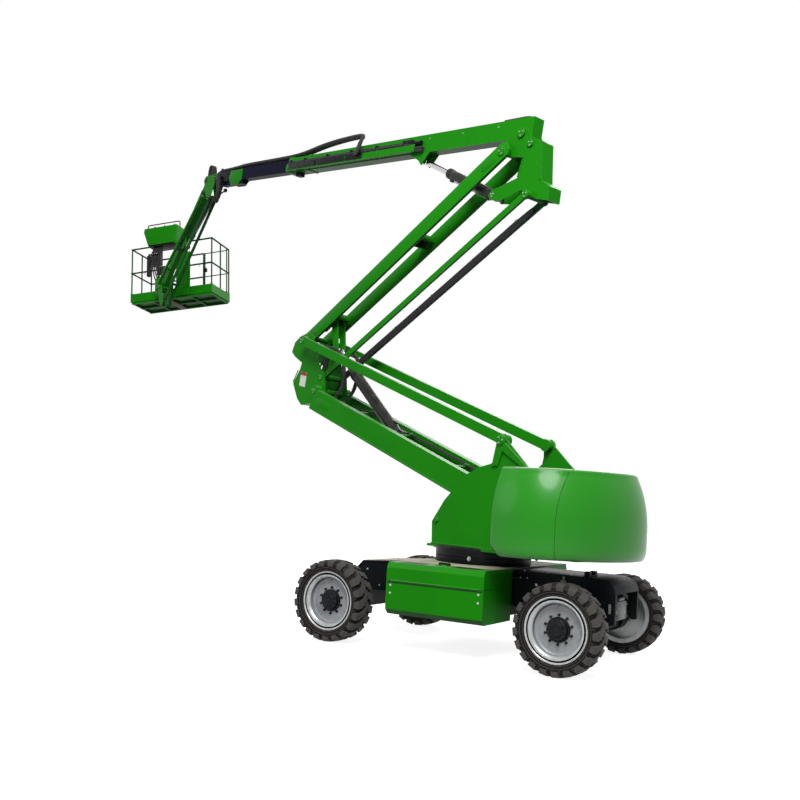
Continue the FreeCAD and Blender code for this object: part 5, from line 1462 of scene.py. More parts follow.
def cap_pins(name: str, frame: Matrix, body: str, caps: list[PinCap], finish: Finish = GREEN) -> None:
    """Make one piece of pin retainers and one of their bolts.

    Args:
        name: Start of the pieces' names.
        frame: Local frame of the caps.
        body: The CAD body that they move with.
        caps: The caps.
        finish: Finish of the retainers.
    """
    plates, bolts = Shape(frame), Shape(frame)
    for cap in caps:
        cap.add(plates, bolts)
    plates.piece(name + "_retainers", finish, body)
    bolts.piece(name + "_bolts", STEEL, body)


def doubler(length: float, half: float, lift: float, start: float) -> list[Flat]:
    """Return the outline of a long weld plate with round ends.

    Args:
        length: Its length.
        half: Half its width.
        lift: Height of its middle line.
        start: Where it starts.

    Returns:
        The outline's corners.
    """
    outline: list[Flat] = []
    for centre, base in ((start + length - half, -90), (start + half, 90)):
        for step in range(9):
            angle = math.radians(base + step * 22.5)
            outline.append((centre + half * math.cos(angle), lift + half * math.sin(angle)))
    return outline


@dataclass(frozen=True)
class LowerArm:
    """Weld plates, pin retainers, seams and hoses of the lower arm and its links."""

    length: float = 4.372
    outer: float = 0.31
    link_outer: float = 0.376

    def build(self, layout: Layout) -> None:
        """Make the lower arm's pieces.

        Args:
            layout: The machine's frames.
        """
        arm = layout.bar("riser_lift", "middle_level")
        links = Matrix.Translation(layout.at("lower_links_turn") - layout.at("riser_lift")) @ arm
        for side, word in SIDES:
            plates = Shape(arm)
            y = span(side, self.outer - 0.0005, self.outer + 0.004)
            for start, length, half in ((0.1, 0.34, 0.055), (self.length - 0.46, 0.34, 0.055)):
                plates.plate(doubler(length, half, -0.118, start), y[0], y[1], bevel=0.0015)
            plates.piece(f"lower_beam_plates_{word}", GREEN, "lower_arm")
            strip = Shape(arm)
            y = span(side, self.outer - 0.0005, self.outer + 0.003)
            strip.block((0.75, y[0], -0.262), (self.length - 0.8, y[1], -0.24), 0.001)
            strip.piece(f"lower_beam_seam_{word}", GREEN, "lower_arm")
        cap_pins("lower_link", links, "lower_links", [PinCap(self.length, 0.0, self.link_outer, 0.052)])
        hoses("lower_arm_hoses", arm, 0.012, [[(0.3, y, -0.1), (0.42, y, -0.02 + index * 0.006),
            (0.62, y, -0.01), (2.0, y, -0.01), (3.6, y, -0.01), (3.85, y, -0.03),
            (4.0, y, -0.08)] for index, y in enumerate((-0.165, -0.13, 0.13, 0.165))], "lower_arm")
        ties = Shape(arm)
        for x in (0.57, 1.45, 2.6, 3.55):
            ties.block((x - 0.02, -0.2095, -0.045), (x + 0.02, 0.2095, -0.023), 0.002)
            for y in (-0.1475, 0.1475):
                ties.block((x - 0.015, y - 0.036, -0.026), (x + 0.015, y + 0.036, 0.006), 0.004)
        ties.piece("lower_hose_bridges", GREEN, "lower_arm")


@dataclass(frozen=True)
class MiddleKnuckle:
    """Pin retainers, hose loops and blank marks of the knuckle between the arms."""

    face: float = 0.204

    def build(self, layout: Layout) -> None:
        """Make the knuckle's pieces.

        Args:
            layout: The machine's frames.
        """
        frame = layout.level("middle_level")
        cap_pins("middle", frame, "middle", [PinCap(0.0, 0.0, 0.3102, 0.046, 0.007),
            PinCap(0.28, 0.743, 0.3762, 0.05, 0.01), PinCap(0.394, 0.816, self.face, 0.056),
            PinCap(-0.006, 0.211, self.face, 0.046)])
        mark, band = Shape(frame), Shape(frame)
        for side in (-1, 1):
            y = span(side, self.face + 0.0002, self.face + 0.0016)
            mark.plate([(0.385, 0.085), (0.535, 0.115), (0.5, 0.325), (0.35, 0.295)], y[0], y[1])
            y = span(side, self.face + 0.0014, self.face + 0.0022)
            band.plate([(0.4995, 0.324), (0.3505, 0.294), (0.359, 0.245), (0.508, 0.275)], y[0], y[1])
        mark.piece("knuckle_mark", LABEL, "middle")
        band.piece("knuckle_mark_band", LABEL_RED, "middle")
        routes = []
        for index, y in enumerate((-0.15, -0.115, -0.08, 0.08, 0.115, 0.15)):
            swell = 0.03 * (index % 3)
            routes.append([(-0.02, y, -0.1), (0.14, y, -0.1 + swell), (0.34 + swell, y, 0.02),
                (0.44 + swell, y, 0.24), (0.36 + swell, y, 0.46), (0.3, y, 0.62), (0.26, y, 0.7)])
        hoses("knuckle_hoses", frame, 0.013, routes, "middle")
        bundle = []
        for index, y in enumerate((-0.162, -0.135, -0.108, 0.108, 0.135, 0.162)):
            swell = 0.045 * (index % 3)
            bundle.append([(0.06, y, 0.66), (-0.14, y, 0.655), (-0.33 - swell, y, 0.56),
                (-0.42 - swell, y, 0.36), (-0.4 - swell, y * 0.8, 0.12), (-0.3 - swell, y * 0.8, -0.08),
                (-0.12, y * 0.8, -0.13), (0.06, y * 0.8, -0.12)])
        hoses("knuckle_hose_bundle", frame, 0.02, bundle, "middle")
        folds = Shape(frame)
        for side in (-1, 1):
            y = span(side, self.face - 0.0005, self.face + 0.01)
            folds.plate([(0.225, 0.69), (0.015, 0.345), (0.03, 0.336), (0.24, 0.681)], y[0], y[1],
                bevel=0.002)
            folds.plate([(0.57, 0.345), (0.69, 0.176), (0.7, 0.186), (0.582, 0.352)], y[0], y[1],
                bevel=0.002)
        folds.piece("knuckle_folds", GREEN, "middle")


@dataclass(frozen=True)
class UpperArm:
    """Beams, weld plates, pin retainers, lips and hose ties of the upper arm and its links."""

    length: float = 4.216
    outer: float = 0.184
    link_inner: float = 0.146
    link_outer: float = 0.182
    inner: float = 0.142
    half_depth: float = 0.098
    eye: str = "riser_eye_bracket"

    def _beams(self, arm: Matrix) -> None:
        """Make the two slender beams with chamfered ends.

        Args:
            arm: The arm's frame.
        """
        h, tip = self.half_depth, 0.104
        for side, word in SIDES:
            beam = Shape(arm)
            low, high = span(side, self.inner, self.outer)
            beam.plate([(-tip, -0.05), (-0.055, -h), (self.length + 0.055, -h), (self.length + tip, -0.05),
                (self.length + tip, 0.05), (self.length + 0.055, h), (-0.055, h), (-tip, 0.05)], low, high,
                bevel=0.006)
            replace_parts(beam.piece(f"upper_beam_shell_{word}", GREEN, "upper_arm"), f"upper_beam_{word}")

    def build(self, layout: Layout) -> None:
        """Make the upper arm's pieces.

        Args:
            layout: The machine's frames.
        """
        arm = layout.bar("upright_level", "upper_lift")
        links = Matrix.Translation(layout.at("upper_links_turn") - layout.at("upper_lift")) @ arm
        for side, word in SIDES:
            plates = Shape(arm)
            y = span(side, self.outer - 0.0005, self.outer + 0.004)
            for start, length, half in ((0.1, 0.26, 0.045), (self.length - 0.38, 0.26, 0.045)):
                plates.plate(doubler(length, half, 0.0, start), y[0], y[1], bevel=0.0015)
            plates.piece(f"upper_beam_plates_{word}", GREEN, "upper_arm")
        cap_pins("upper_arm", arm, "upper_arm", [PinCap(0.0, 0.0, self.outer + 0.0002, 0.058),
            PinCap(self.length, 0.0, self.outer + 0.0002, 0.058)])
        self._beams(arm)
        lips = Shape(arm)
        for start in (self.length - 0.62, self.length - 2.56):
            for offset in (-0.004, 0.15):
                lips.block((start + offset - 0.008, -0.1445, -0.046),
                    (start + offset + 0.012, 0.1445, 0.05), 0.003)
            for side in (-1, 1):
                low, high = span(side, 0.1, 0.1445)
                lips.block((start, low, -0.042), (start + 0.15, high, 0.046), 0.003)
        place = arm.inverted()
        corners = [place @ vert.co for vert in bpy.data.objects[self.eye].data.vertices]
        first, last = min(point.x for point in corners), max(point.x for point in corners)
        for side in (-1, 1):
            low, high = span(side, 0.1, 0.1445)
            lips.block((first, low, -0.085), (last, high, min(0.085, max(point.z for point in corners))),
                0.003)
        lips.piece("cross_member_lips", GREEN, "upper_arm")
        ties = Shape(links)
        for index in range(5):
            x = 0.446 + index * 0.812
            y = -self.link_outer
            ties.block((x - 0.004, y - 0.003, 0.0395), (x + 0.03, y + 0.04, 0.0725), 0.004)
        for x in (0.85, 1.66, 2.47, 3.28):
            y = -self.link_outer
            ties.block((x - 0.006, y - 0.002, 0.0395), (x + 0.006, y + 0.039, 0.0705), 0.003)
        ties.piece("hose_ties", LABEL, "upper_links")
        y = 0.016 - self.link_inner
        hoses("link_inner_hoses", links, 0.0125, [[(0.16, y, z * 0.5), (0.3, y, z), (0.6, y, z),
            (2.0, y, z), (3.4, y, z), (self.length - 0.3, y, z),
            (self.length - 0.16, y, z * 0.5)] for z in (-0.03, -0.002, 0.026)], "upper_links")


@dataclass(frozen=True)
class CylinderTrim:
    """Gland, port fittings and hard line of one hydraulic cylinder.

    Attributes:
        name: Start of the pieces' names.
        base: Joint at the barrel's foot.
        slide: Joint of the rod.
        radius: Radius of the barrel.
        length: Length of the barrel.
        body: The barrel's body.
        up: 1 if the ports stand up, and -1 if they hang.
    """

    name: str
    base: str
    slide: str
    radius: float
    length: float
    body: str
    up: int = 1

    def build(self, layout: Layout) -> None:
        """Make the cylinder's pieces.

        Args:
            layout: The machine's frames.
        """
        frame = layout.along(self.base, self.slide)
        r, end = self.radius, self.length
        gland = Shape(frame)
        gland.turned([(end - 0.06, r), (end - 0.06, r + 0.006), (end - 0.006, r + 0.006), (end, r + 0.001),
            (end + 0.004, r * 0.92), (end + 0.004, r * 0.7), (end - 0.01, r * 0.7), (end - 0.01, r)],
            (0, 0, 0), (1, 0, 0), 40)
        gland.turned([(0.1, r - 0.001), (0.1, r + 0.004), (0.125, r + 0.004), (0.125, r - 0.001)],
            (0, 0, 0), (1, 0, 0), 40)
        for x in (0.15, end - 0.1):
            gland.block((x - 0.025, -0.02, self.up * (r + 0.008) - 0.018),
                (x + 0.025, 0.02, self.up * (r + 0.008) + 0.018), 0.004)
        gland.piece(self.name + "_gland", BARREL, self.body)
        high, low = self.up * (r + 0.016), self.up * (r + 0.008)
        line = [(0.17, 0.0, high), (0.24, 0.0, high), (0.3, 0.0, low), (end * 0.6, 0.0, low),
            (end - 0.17, 0.0, low), (end - 0.12, 0.0, high)]
        hoses(self.name + "_line", frame, 0.006, [line], self.body, STEEL)


# --- Upright and boom -----------------------------------------------------------------------


@dataclass(frozen=True)
class Upright:
    """Pin retainers and folded edges of the upright."""

    half: float = 0.1
    link_face: float = 0.1822

    def build(self, layout: Layout) -> None:
        """Make the upright's pieces.

        Args:
            layout: The machine's frames.
        """
        frame = layout.level("upright_level")
        cap_pins("upright", frame, "upright", [PinCap(-0.234, 0.18, self.half + 0.0102, 0.056, 0.01),
            PinCap(-0.384, 0.02, self.half + 0.0102, 0.046, 0.008),
            PinCap(-0.4, -0.605, self.link_face, 0.048, 0.008),
            PinCap(0.205, -0.46, self.half + 0.0002, 0.04, 0.003)])
        folds = Shape(frame)
        for side in (-1, 1):
            y = span(side, self.half - 0.0005, self.half + 0.008)
            folds.plate([(-0.53, -0.005), (-0.56, -0.45), (-0.548, -0.452), (-0.518, -0.007)], y[0], y[1],
                bevel=0.002)
            folds.plate([(-0.27, -0.128), (-0.19, -0.336), (-0.202, -0.34), (-0.282, -0.131)], y[0], y[1],
                bevel=0.002)
        folds.piece("upright_folds", GREEN, "upright")


@dataclass(frozen=True)
class Boom:
    """Collar, hose trough, hose loops and brackets of the boom's two sections.

    Attributes:
        end: Front end of the base section.
        half: Half its width.
        low: Height of its underside.
        high: Height of its top.
        fly_half: Half the fly's width.
        fly_low: Height of the fly's underside.
        fly_high: Height of the fly's top.
        reach: Place of the fly's nose pin.
    """

    end: float = 5.08
    half: float = 0.085
    low: float = -0.05
    high: float = 0.185
    fly_half: float = 0.069
    fly_low: float = -0.0275
    fly_high: float = 0.1625
    reach: float = 7.52

    def build(self, layout: Layout) -> None:
        """Make the boom's pieces.

        Args:
            layout: The machine's frames.
        """
        frame = layout.along("boom_luff", "boom_telescope")
        self._collar(frame)
        self._trough(frame)
        self._loops(frame)
        self._small(frame)

    def _collar(self, frame: Matrix) -> None:
        """Make the reinforced mouth of the base section with its pad bolts.

        Args:
            frame: Frame of the body it rides on.
        """
        collar, bolts = Shape(frame), Shape(frame)
        y, low, high = self.half, self.low, self.high
        for x0, x1 in ((self.end - 0.16, self.end - 0.002), (self.end - 0.62, self.end - 0.56)):
            for side in (-1, 1):
                a, b = span(side, y - 0.001, y + 0.007)
                collar.block((x0, a, low - 0.007), (x1, b, high + 0.007), 0.002)
            collar.block((x0, -y, high - 0.001), (x1, y, high + 0.007), 0.002)
            collar.block((x0, -y, low - 0.007), (x1, y, low + 0.001), 0.002)
        for side in (-1, 1):
            for z in (low + 0.06, high - 0.06):
                for x in (self.end - 0.12, self.end - 0.05):
                    bolts.bolt((x, side * (y + 0.007), z), (0, side, 0), 0.01, 0.009)
        for x in (0.42, 1.05, 1.68, 2.9, 3.9):
            bolts.bolt((x, self.half, self.high - 0.06), (0, 1, 0), 0.008, 0.007)
        collar.piece("boom_collar", GREEN, "boom")
        bolts.piece("boom_bolts", STEEL, "boom")
        pads = Shape(frame)
        for side in (-1, 1):
            a, b = span(side, self.fly_half + 0.0005, self.half - 0.0085)
            pads.block((self.end - 0.09, a, 0.0), (self.end + 0.012, b, 0.14), 0.001)
        pads.block((self.end - 0.09, -0.055, self.fly_high + 0.0005),
            (self.end + 0.012, 0.055, self.high - 0.0085), 0.001)
        pads.piece("boom_wear_pads", PLASTIC, "boom")

    def _trough(self, frame: Matrix) -> None:
        """Lay the hoses in the trough and strap them.

        Args:
            frame: Frame of the body it rides on.
        """
        z, y = self.low + 0.012 + 0.004 + 0.017, self.half + 0.031
        routes = []
        for row in range(2):
            for column in range(2):
                across, up = y - 0.015 + 0.031 * column, z + 0.0325 * row
                routes.append([(1.76, across, up - 0.006)] + [(x, across, up) for x in (1.92, 3.0, 4.6,
                    4.98, 5.06)])
        hoses("trough_hoses", frame, 0.015, routes, "boom")
        straps = Shape(frame)
        for x in (1.93, 2.7, 3.47, 4.24, 5.0):
            straps.block((x - 0.02, self.half + 0.0655, self.low + 0.01),
                (x + 0.02, self.half + 0.0705, self.low + 0.11), 0.002)
            straps.block((x - 0.02, self.half, self.low + 0.1035),
                (x + 0.02, self.half + 0.0705, self.low + 0.11), 0.002)
        straps.piece("trough_straps", GREEN, "boom")

    def _loops(self, frame: Matrix) -> None:
        """Lay the thick hose bundle along the fly, over the base section and down its near side.

        Args:
            frame: Frame of the body it rides on.
        """
        z = self.fly_high
        routes = []
        for y, rise, far in ((-0.036, 0.0, 0.0), (0.006, 0.012, 0.03), (0.048, 0.0, 0.06)):
            routes.append([(7.5, y, z - 0.03), (7.42, y, z + 0.025), (7.2, y, z + 0.03),
                (6.85, y, z + 0.034), (6.62, y, z + 0.058), (6.3, y, z + 0.062), (5.6, y, z + 0.062),
                (5.25, y, z + 0.064), (5.0, y, z + 0.068), (4.7, y, z + 0.085 + rise),
                (4.3, y, z + 0.15 + rise), (3.9, y, z + 0.185 + rise), (3.55 - far, y, z + 0.2 + rise),
                (3.3 - far, y + 0.02, z + 0.195 + rise), (3.17 - far, y * 0.5 + 0.09, z + 0.15 + rise),
                (3.13 - far, 0.178 + y * 0.2, z + 0.06), (3.14 - far, 0.184 + y * 0.2, z - 0.05),
                (3.2 - far, 0.184 + y * 0.2, z - 0.13)])
        hoses("boom_hose_loop", frame, 0.0225, routes, "fly")
        holder = Shape(frame)
        for x in (6.88, 7.34):
            holder.block((x - 0.02, -0.062, z - 0.0005), (x + 0.02, 0.062, z + 0.012), 0.003)
            for y in (-0.064, 0.058):
                holder.block((x - 0.014, y, z + 0.002), (x + 0.014, y + 0.016, z + 0.058), 0.003)
            holder.block((x - 0.014, -0.064, z + 0.052), (x + 0.014, 0.074, z + 0.059), 0.002)
        holder.piece("fly_hose_holders", SATIN_BLACK, "fly")
        hoses("boom_side_hoses", frame, 0.0145, [[(1.98, y, row - 0.02), (2.1, y, row), (2.6, y, row),
            (3.4, y, row), (4.4, y, row), (4.92, y, row), (5.04, y, row - 0.01)] for row,
            y in ((0.079, 0.108), (0.079, 0.139), (0.108, 0.108))], "boom")
        cover, clamps = Shape(frame), Shape(frame)
        # Partly painted shade: this black plate on the near side is a hose cover and also stands in for the
        # shade under the hose loop.
        cover.block((3.05, 0.1508, self.low + 0.03), (4.98, 0.1555, 0.062), 0.002)
        cover.block((1.96, 0.094, 0.052), (2.1, 0.152, 0.126), 0.008)
        cover.rod((1.8, 0.118, 0.082), (1.97, 0.118, 0.082), 0.026, sides=20)
        cover.piece("boom_hose_cover", SATIN_BLACK, "boom")
        for x in (2.14, 2.75, 3.35, 3.95, 4.55, 4.94):
            clamps.block((x - 0.016, self.half - 0.001, 0.056), (x + 0.016, 0.156, 0.128), 0.004)
        clamps.piece("boom_hose_clamps", PLASTIC, "boom")
        hoses("boom_rear_hoses", frame, 0.0125, [[(0.36, y, 0.199), (0.16, y, 0.2), (0.02, y, 0.204),
            (-0.07, y, 0.196), (-0.12, y, 0.165), (-0.13, y, 0.12)] for y in (-0.051, -0.017, 0.017,
            0.051)], "boom")

    def _small(self, frame: Matrix) -> None:
        """Add the bracket under the mouth and the fly's trim.

        Args:
            frame: Frame of the body it rides on.
        """
        bracket = Shape(frame)
        bracket.block((4.78, -0.05, self.low - 0.055), (4.9, 0.05, self.low - 0.002), 0.005)
        bracket.rod((4.84, -0.07, self.low - 0.035), (4.84, 0.07, self.low - 0.035), 0.012)
        bracket.piece("boom_under_bracket", SATIN_BLACK, "boom")
        tip, cover = Shape(frame), Shape(frame)
        for side in (-1, 1):
            a, b = span(side, self.fly_half - 0.001, self.fly_half + 0.009)
            tip.plate([(6.575, self.fly_low - 0.004), (6.575, 0.15), (6.99, 0.15), (7.03, 0.02),
                (6.94, -0.098), (6.68, -0.104)], a, b, bevel=0.002)
            a, b = span(side, self.fly_half - 0.001, self.fly_half + 0.005)
            cover.plate([(7.05, self.fly_low + 0.004), (7.05, 0.15), (self.reach - 0.1, 0.15),
                (self.reach + 0.03, 0.11), (self.reach + 0.03, 0.03),
                (self.reach - 0.1, self.fly_low + 0.004)], a, b, bevel=0.002)
            for x, z in ((7.12, 0.03), (7.12, 0.12), (7.34, 0.03), (7.34, 0.12)):
                cover.bolt((x, side * (self.fly_half + 0.005), z), (0, side, 0), 0.01, 0.008)
            for x, z in ((6.62, 0.02), (6.62, 0.12), (6.92, 0.12)):
                tip.bolt((x, side * (self.fly_half + 0.009), z), (0, side, 0), 0.009, 0.007)
        tip.piece("fly_tip_plates", GREEN, "fly")
        cover.piece("fly_tip_cover", SATIN_BLACK, "fly")
        under = Shape(frame)
        under.block((6.6, -0.053, self.fly_low - 0.066), (6.68, 0.053, self.fly_low - 0.0005), 0.004)
        under.block((7.2, -0.053, self.fly_low - 0.066), (7.28, 0.053, self.fly_low - 0.0005), 0.004)
        for x in (6.64, 7.24):
            under.bolts((x, 0.0535, self.fly_low - 0.03), (0, 1, 0), 0.02, 2, 0.008, 0.007)
        under.piece("fly_bracket_clamps", SATIN_BLACK, "fly")


@dataclass(frozen=True)
class NoseAndJib:
    """Retainers, valve disc, hoses and side tube of the nose, the jib and the platform's support."""

    plate: float = 0.094

    def build(self, layout: Layout) -> None:
        """Make the nose's, the jib's and the support's pieces.

        Args:
            layout: The machine's frames.
        """
        nose = layout.level("nose_level")
        cap_pins("nose", nose, "nose", [PinCap(0.0, 0.0, self.plate + 0.0002, 0.046, 0.008),
            PinCap(0.33, 0.03, self.plate + 0.0002, 0.046, 0.008),
            PinCap(0.2, -0.32, self.plate + 0.0002, 0.046, 0.008)], SATIN_BLACK)
        disc = Shape(nose)
        disc.plate([(-0.125, -0.01), (-0.235, 0.006), (-0.315, -0.37), (-0.27, -0.445), (-0.19, -0.42),
            (-0.125, -0.17)], 0.11, 0.122, bevel=0.002)
        disc.turned([(0.0, 0.0), (0.0, 0.07), (0.022, 0.07), (0.03, 0.062), (0.034, 0.03), (0.038, 0.026),
            (0.038, 0.0)], (-0.235, 0.1215, -0.37), (0, 1, 0), 48)
        disc.bolts((-0.235, 0.1515, -0.37), (0, 1, 0), 0.046, 6, 0.007, 0.006)
        disc.rod((-0.19, 0.06, -0.035), (-0.19, 0.112, -0.035), 0.026)
        disc.rod((-0.28, 0.116, -0.37), (-0.44, 0.116, -0.345), 0.012)
        disc.block((-0.49, 0.092, -0.37), (-0.43, 0.14, -0.315), 0.006)
        disc.piece("nose_disc", SATIN_BLACK, "fly")
        hoses("nose_hose_loop", nose, 0.0155, [[(0.19, y, 0.0), (0.195, y, 0.14), (0.205, y, 0.24),
            (0.24, y, 0.297), (0.3, y, 0.297), (0.338, y, 0.24), (0.348, y, 0.14),
            (0.355, y, 0.02)] for y in (-0.034, 0.0, 0.034)], "nose")
        jib = layout.bar("jib_lift", "support_level")
        tube = [(0.245, 0.138, -0.19), (0.34, 0.138, -0.178), (1.27, 0.138, -0.1), (2.2, 0.138, -0.02),
            (2.28, 0.138, -0.012)]
        hoses("jib_side_tube", jib, 0.027, [tube], "jib", GREEN)
        clips = Shape(jib)
        for x in (0.36, 1.27, 1.92):
            z = -0.176 + (x - 0.36) * 0.0845
            if x > 1.9:
                clips.block((x - 0.022, 0.0425, z - 0.02), (x + 0.022, 0.112, z + 0.02), 0.004)
            clips.rod((x - 0.022, 0.138, z - 0.002), (x + 0.022, 0.138, z + 0.002), 0.0325)
        clips.rod((0.225, 0.138, -0.192), (0.262, 0.138, -0.189), 0.034)
        clips.rod((2.25, 0.138, -0.015), (2.292, 0.138, -0.011), 0.034)
        clips.piece("jib_tube_clips", GREEN, "jib")
        self._dark_bundle(jib)
        high = 0.07
        hoses("jib_hoses", jib, 0.01, [[(0.14, y, high), (0.4, y, high), (1.2, y, high), (2.0, y, high),
            (2.3, y, high + 0.004 * index)] for index, y in enumerate((-0.025, 0.0, 0.025))], "jib")
        bands = Shape(jib)
        for x in (0.3, 0.9, 1.5, 2.1):
            bands.block((x - 0.012, -0.042, 0.0575), (x + 0.012, 0.042, 0.0825), 0.004)
        bands.piece("jib_hose_bands", SATIN_BLACK, "jib")
        lug = Shape(jib)
        for side in (-1, 1):
            lug.rod((1.3, side * 0.0442, -0.18), (1.3, side * 0.05, -0.18), 0.034)
        lug.piece("jib_eye_retainers", SATIN_BLACK, "jib")
        support = layout.level("support_level") @ Matrix.Rotation(math.radians(7.5), 4, "Y")
        cap_pins("support", support, "support", [PinCap(0.0, 0.0, self.plate + 0.0002, 0.046, 0.008)])

    @staticmethod
    def _dark_bundle(jib: Matrix) -> None:
        """Run the hoses that hang below the jib's upper half.

        Args:
            jib: The jib's frame.
        """
        hoses("jib_lower_hoses", jib, 0.014, [[(0.22, y, z), (0.34, y, z), (0.8, y, z), (1.25, y, z),
            (1.42, y, z), (1.5, y * 0.9, z)] for y in (-0.06, 0.06) for z in (-0.046, -0.014, 0.018)],
            "jib")


# --- Platform -------------------------------------------------------------------------------


@dataclass(frozen=True)
class Platform:
    """Control box, guard frame, valve and hose cluster, floor frame and gate latch of the platform.

    Attributes:
        near: Near edge of the floor.
        far: Far edge of the floor.
        right: Right edge of the floor.
        left: Left edge of the floor.
        floor: Height of the floor's underside.
        rail: Height of the rails above it.
    """

    near: float = 0.27
    far: float = 1.01
    right: float = -0.995
    left: float = 0.835
    floor: float = -0.15
    rail: float = 1.13

    def build(self, layout: Layout) -> None:
        """Make the platform's pieces.

        Args:
            layout: The machine's frames.
        """
        frame = layout.platform
        self._console(frame)
        self._cluster(frame)
        self._underside(frame)
        self._small(frame)

    def _console(self, frame: Matrix) -> None:
        """Make the control box with its face, levers and guard frame.

        Args:
            frame: Frame of the body it rides on.
        """
        x0, x1, top = 0.105, 0.4, 1.288
        box = Shape(frame)
        box.plate([(-0.295, top), (0.435, top), (0.447, 1.205), (0.352, 0.925), (-0.222, 0.925),
            (-0.307, 1.205)], x0, x1, "YZ", 0.01)
        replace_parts(box.piece("control_box", GREEN, "platform"), "console")
        tray = Shape(frame)
        tray.block((x0 + 0.02, -0.21, 0.895), (x1 + 0.02, 0.345, 0.9245), 0.004)
        for y in (-0.16, 0.05, 0.29):
            tray.block((0.274, y - 0.02, self.floor + self.rail - 0.02), (0.3, y + 0.02, 0.9), 0.003)
        tray.piece("control_tray", SATIN_BLACK, "platform")
        guard = [[(0.24, -0.285, 1.2), (0.24, -0.292, 1.3), (0.24, -0.295, 1.385), (0.24, -0.28, 1.402),
            (0.24, -0.2, 1.404), (0.24, 0.35, 1.404), (0.24, 0.42, 1.402), (0.24, 0.437, 1.385),
            (0.24, 0.434, 1.3), (0.24, 0.425, 1.2)]]
        hoses("console_guard", frame, 0.011, guard, "platform", SATIN_BLACK)
        face = Shape(frame)
        face.block((x0 + 0.03, -0.26, top - 0.0005), (x1 - 0.03, 0.4, top + 0.007), 0.002)
        for y in (-0.14, 0.08, 0.3):
            face.rod((0.28, y, top + 0.006), (0.28, y, top + 0.03), 0.028, 0.02)
            face.rod((0.28, y, top + 0.03), (0.288, y + 0.006, top + 0.075), 0.007)
            face.rod((0.288, y + 0.006, top + 0.07), (0.289, y + 0.007, top + 0.095), 0.015, 0.012)
        for index in range(8):
            face.rod((0.17, -0.2 + index * 0.07, top + 0.006), (0.17, -0.2 + index * 0.07, top + 0.021),
                0.01, 0.008, 12)
        face.piece("console_controls", PLASTIC, "platform")
        stop = Shape(frame)
        stop.rod((0.2, 0.35, top + 0.006), (0.2, 0.35, top + 0.028), 0.022, 0.02)
        stop.piece("stop_button", LABEL_RED, "platform")
        seams = Shape(frame)
        seams.block((x0 - 0.002, -0.304, 1.203), (x0 + 0.004, 0.444, 1.208), 0.001)
        seams.block((x0 - 0.003, -0.222, 0.926), (x0 + 0.004, 0.352, 0.94), 0.001)
        seams.piece("console_seams", GREEN, "platform")

    def _cluster(self, frame: Matrix) -> None:
        """Hang the valves and hoses below the control box.

        Args:
            frame: Frame of the body it rides on.
        """
        x, top = self.near - 0.03, self.floor + self.rail
        valve = Shape(frame)
        valve.block((x - 0.07, 0.1, top - 0.46), (x + 0.028, 0.31, top - 0.16), 0.01)
        valve.block((x - 0.05, 0.345, top - 0.66), (x + 0.02, 0.425, top - 0.23), 0.008)
        valve.block((x - 0.05, 0.06, top - 0.66), (x + 0.02, 0.2, top - 0.49), 0.008)
        valve.block((x - 0.02, 0.1, top - 0.16), (x + 0.02, 0.31, 0.9), 0.004)
        valve.rod((x - 0.02, 0.385, top - 0.23), (x - 0.02, 0.385, top - 0.19), 0.02)
        for index in range(4):
            valve.rod((x - 0.07, 0.15 + index * 0.05, top - 0.24),
                (x - 0.11, 0.15 + index * 0.05, top - 0.24), 0.017, sides=16)
            valve.rod((x - 0.07, 0.15 + index * 0.05, top - 0.36),
                (x - 0.1, 0.15 + index * 0.05, top - 0.36), 0.013, sides=16)
        valve.piece("platform_valves", PLASTIC, "platform")
        fittings = Shape(frame)
        for index in range(4):
            fittings.rod((x - 0.11, 0.15 + index * 0.05, top - 0.24),
                (x - 0.125, 0.15 + index * 0.05, top - 0.24), 0.009, sides=6)
            fittings.rod((x - 0.02, 0.15 + index * 0.05, top - 0.46),
                (x - 0.02, 0.15 + index * 0.05, top - 0.49), 0.011, sides=6)
        fittings.piece("platform_fittings", STEEL, "platform")
        routes = []
        for index in range(6):
            y = 0.08 + index * 0.035
            droop = 0.05 * (index % 3)
            routes.append([(x - 0.02, y, top + 0.01), (x - 0.08, y + 0.02, top - 0.16),
                (x - 0.09, y + 0.02, top - 0.4), (x - 0.07, y - 0.02, top - 0.66 - droop),
                (x - 0.05, y - 0.12, top - 0.8 - droop), (x - 0.04, y * 0.4 - 0.04, top - 0.74),
                (x - 0.06, y * 0.3 - 0.02, top - 0.5)])
        hoses("platform_hoses", frame, 0.012, routes, "platform")

    def _underside(self, frame: Matrix) -> None:
        """Make the floor's frame, the pale plate under it and the tread on top.

        Args:
            frame: Frame of the body it rides on.
        """
        bars = Shape(frame)
        low, high = self.floor - 0.038, self.floor - 0.0005
        for x in (self.near + 0.03, (self.near + self.far) / 2, self.far - 0.05):
            bars.block((x - 0.012, self.right + 0.02, low), (x + 0.024, self.left - 0.02, high), 0.003)
        for y in (self.right + 0.03, self.right + 0.48, self.left - 0.5, self.left - 0.05):
            bars.block((self.near + 0.02, y - 0.012, low + 0.004), (self.far - 0.02, y + 0.024, high),
                0.003)
        bars.piece("floor_frame", GREEN, "platform")
        pale = Shape(frame)
        pale.block((self.near + 0.06, -0.07, low - 0.003), (self.far - 0.07, 0.07, low + 0.003), 0.002)
        pale.piece("floor_frame_plate", BEIGE, "platform")
        deck = Shape(frame)
        deck.block((self.near + 0.006, self.right + 0.006, self.floor + 0.0302),
            (self.far - 0.006, self.left - 0.006, self.floor + 0.033), 0.001)
        for index in range(14):
            y = self.right + 0.08 + index * 0.125
            deck.block((self.near + 0.03, y, self.floor + 0.0325),
                (self.far - 0.03, y + 0.012, self.floor + 0.0365), 0.001)
        deck.piece("floor_tread", ENGINE, "platform")

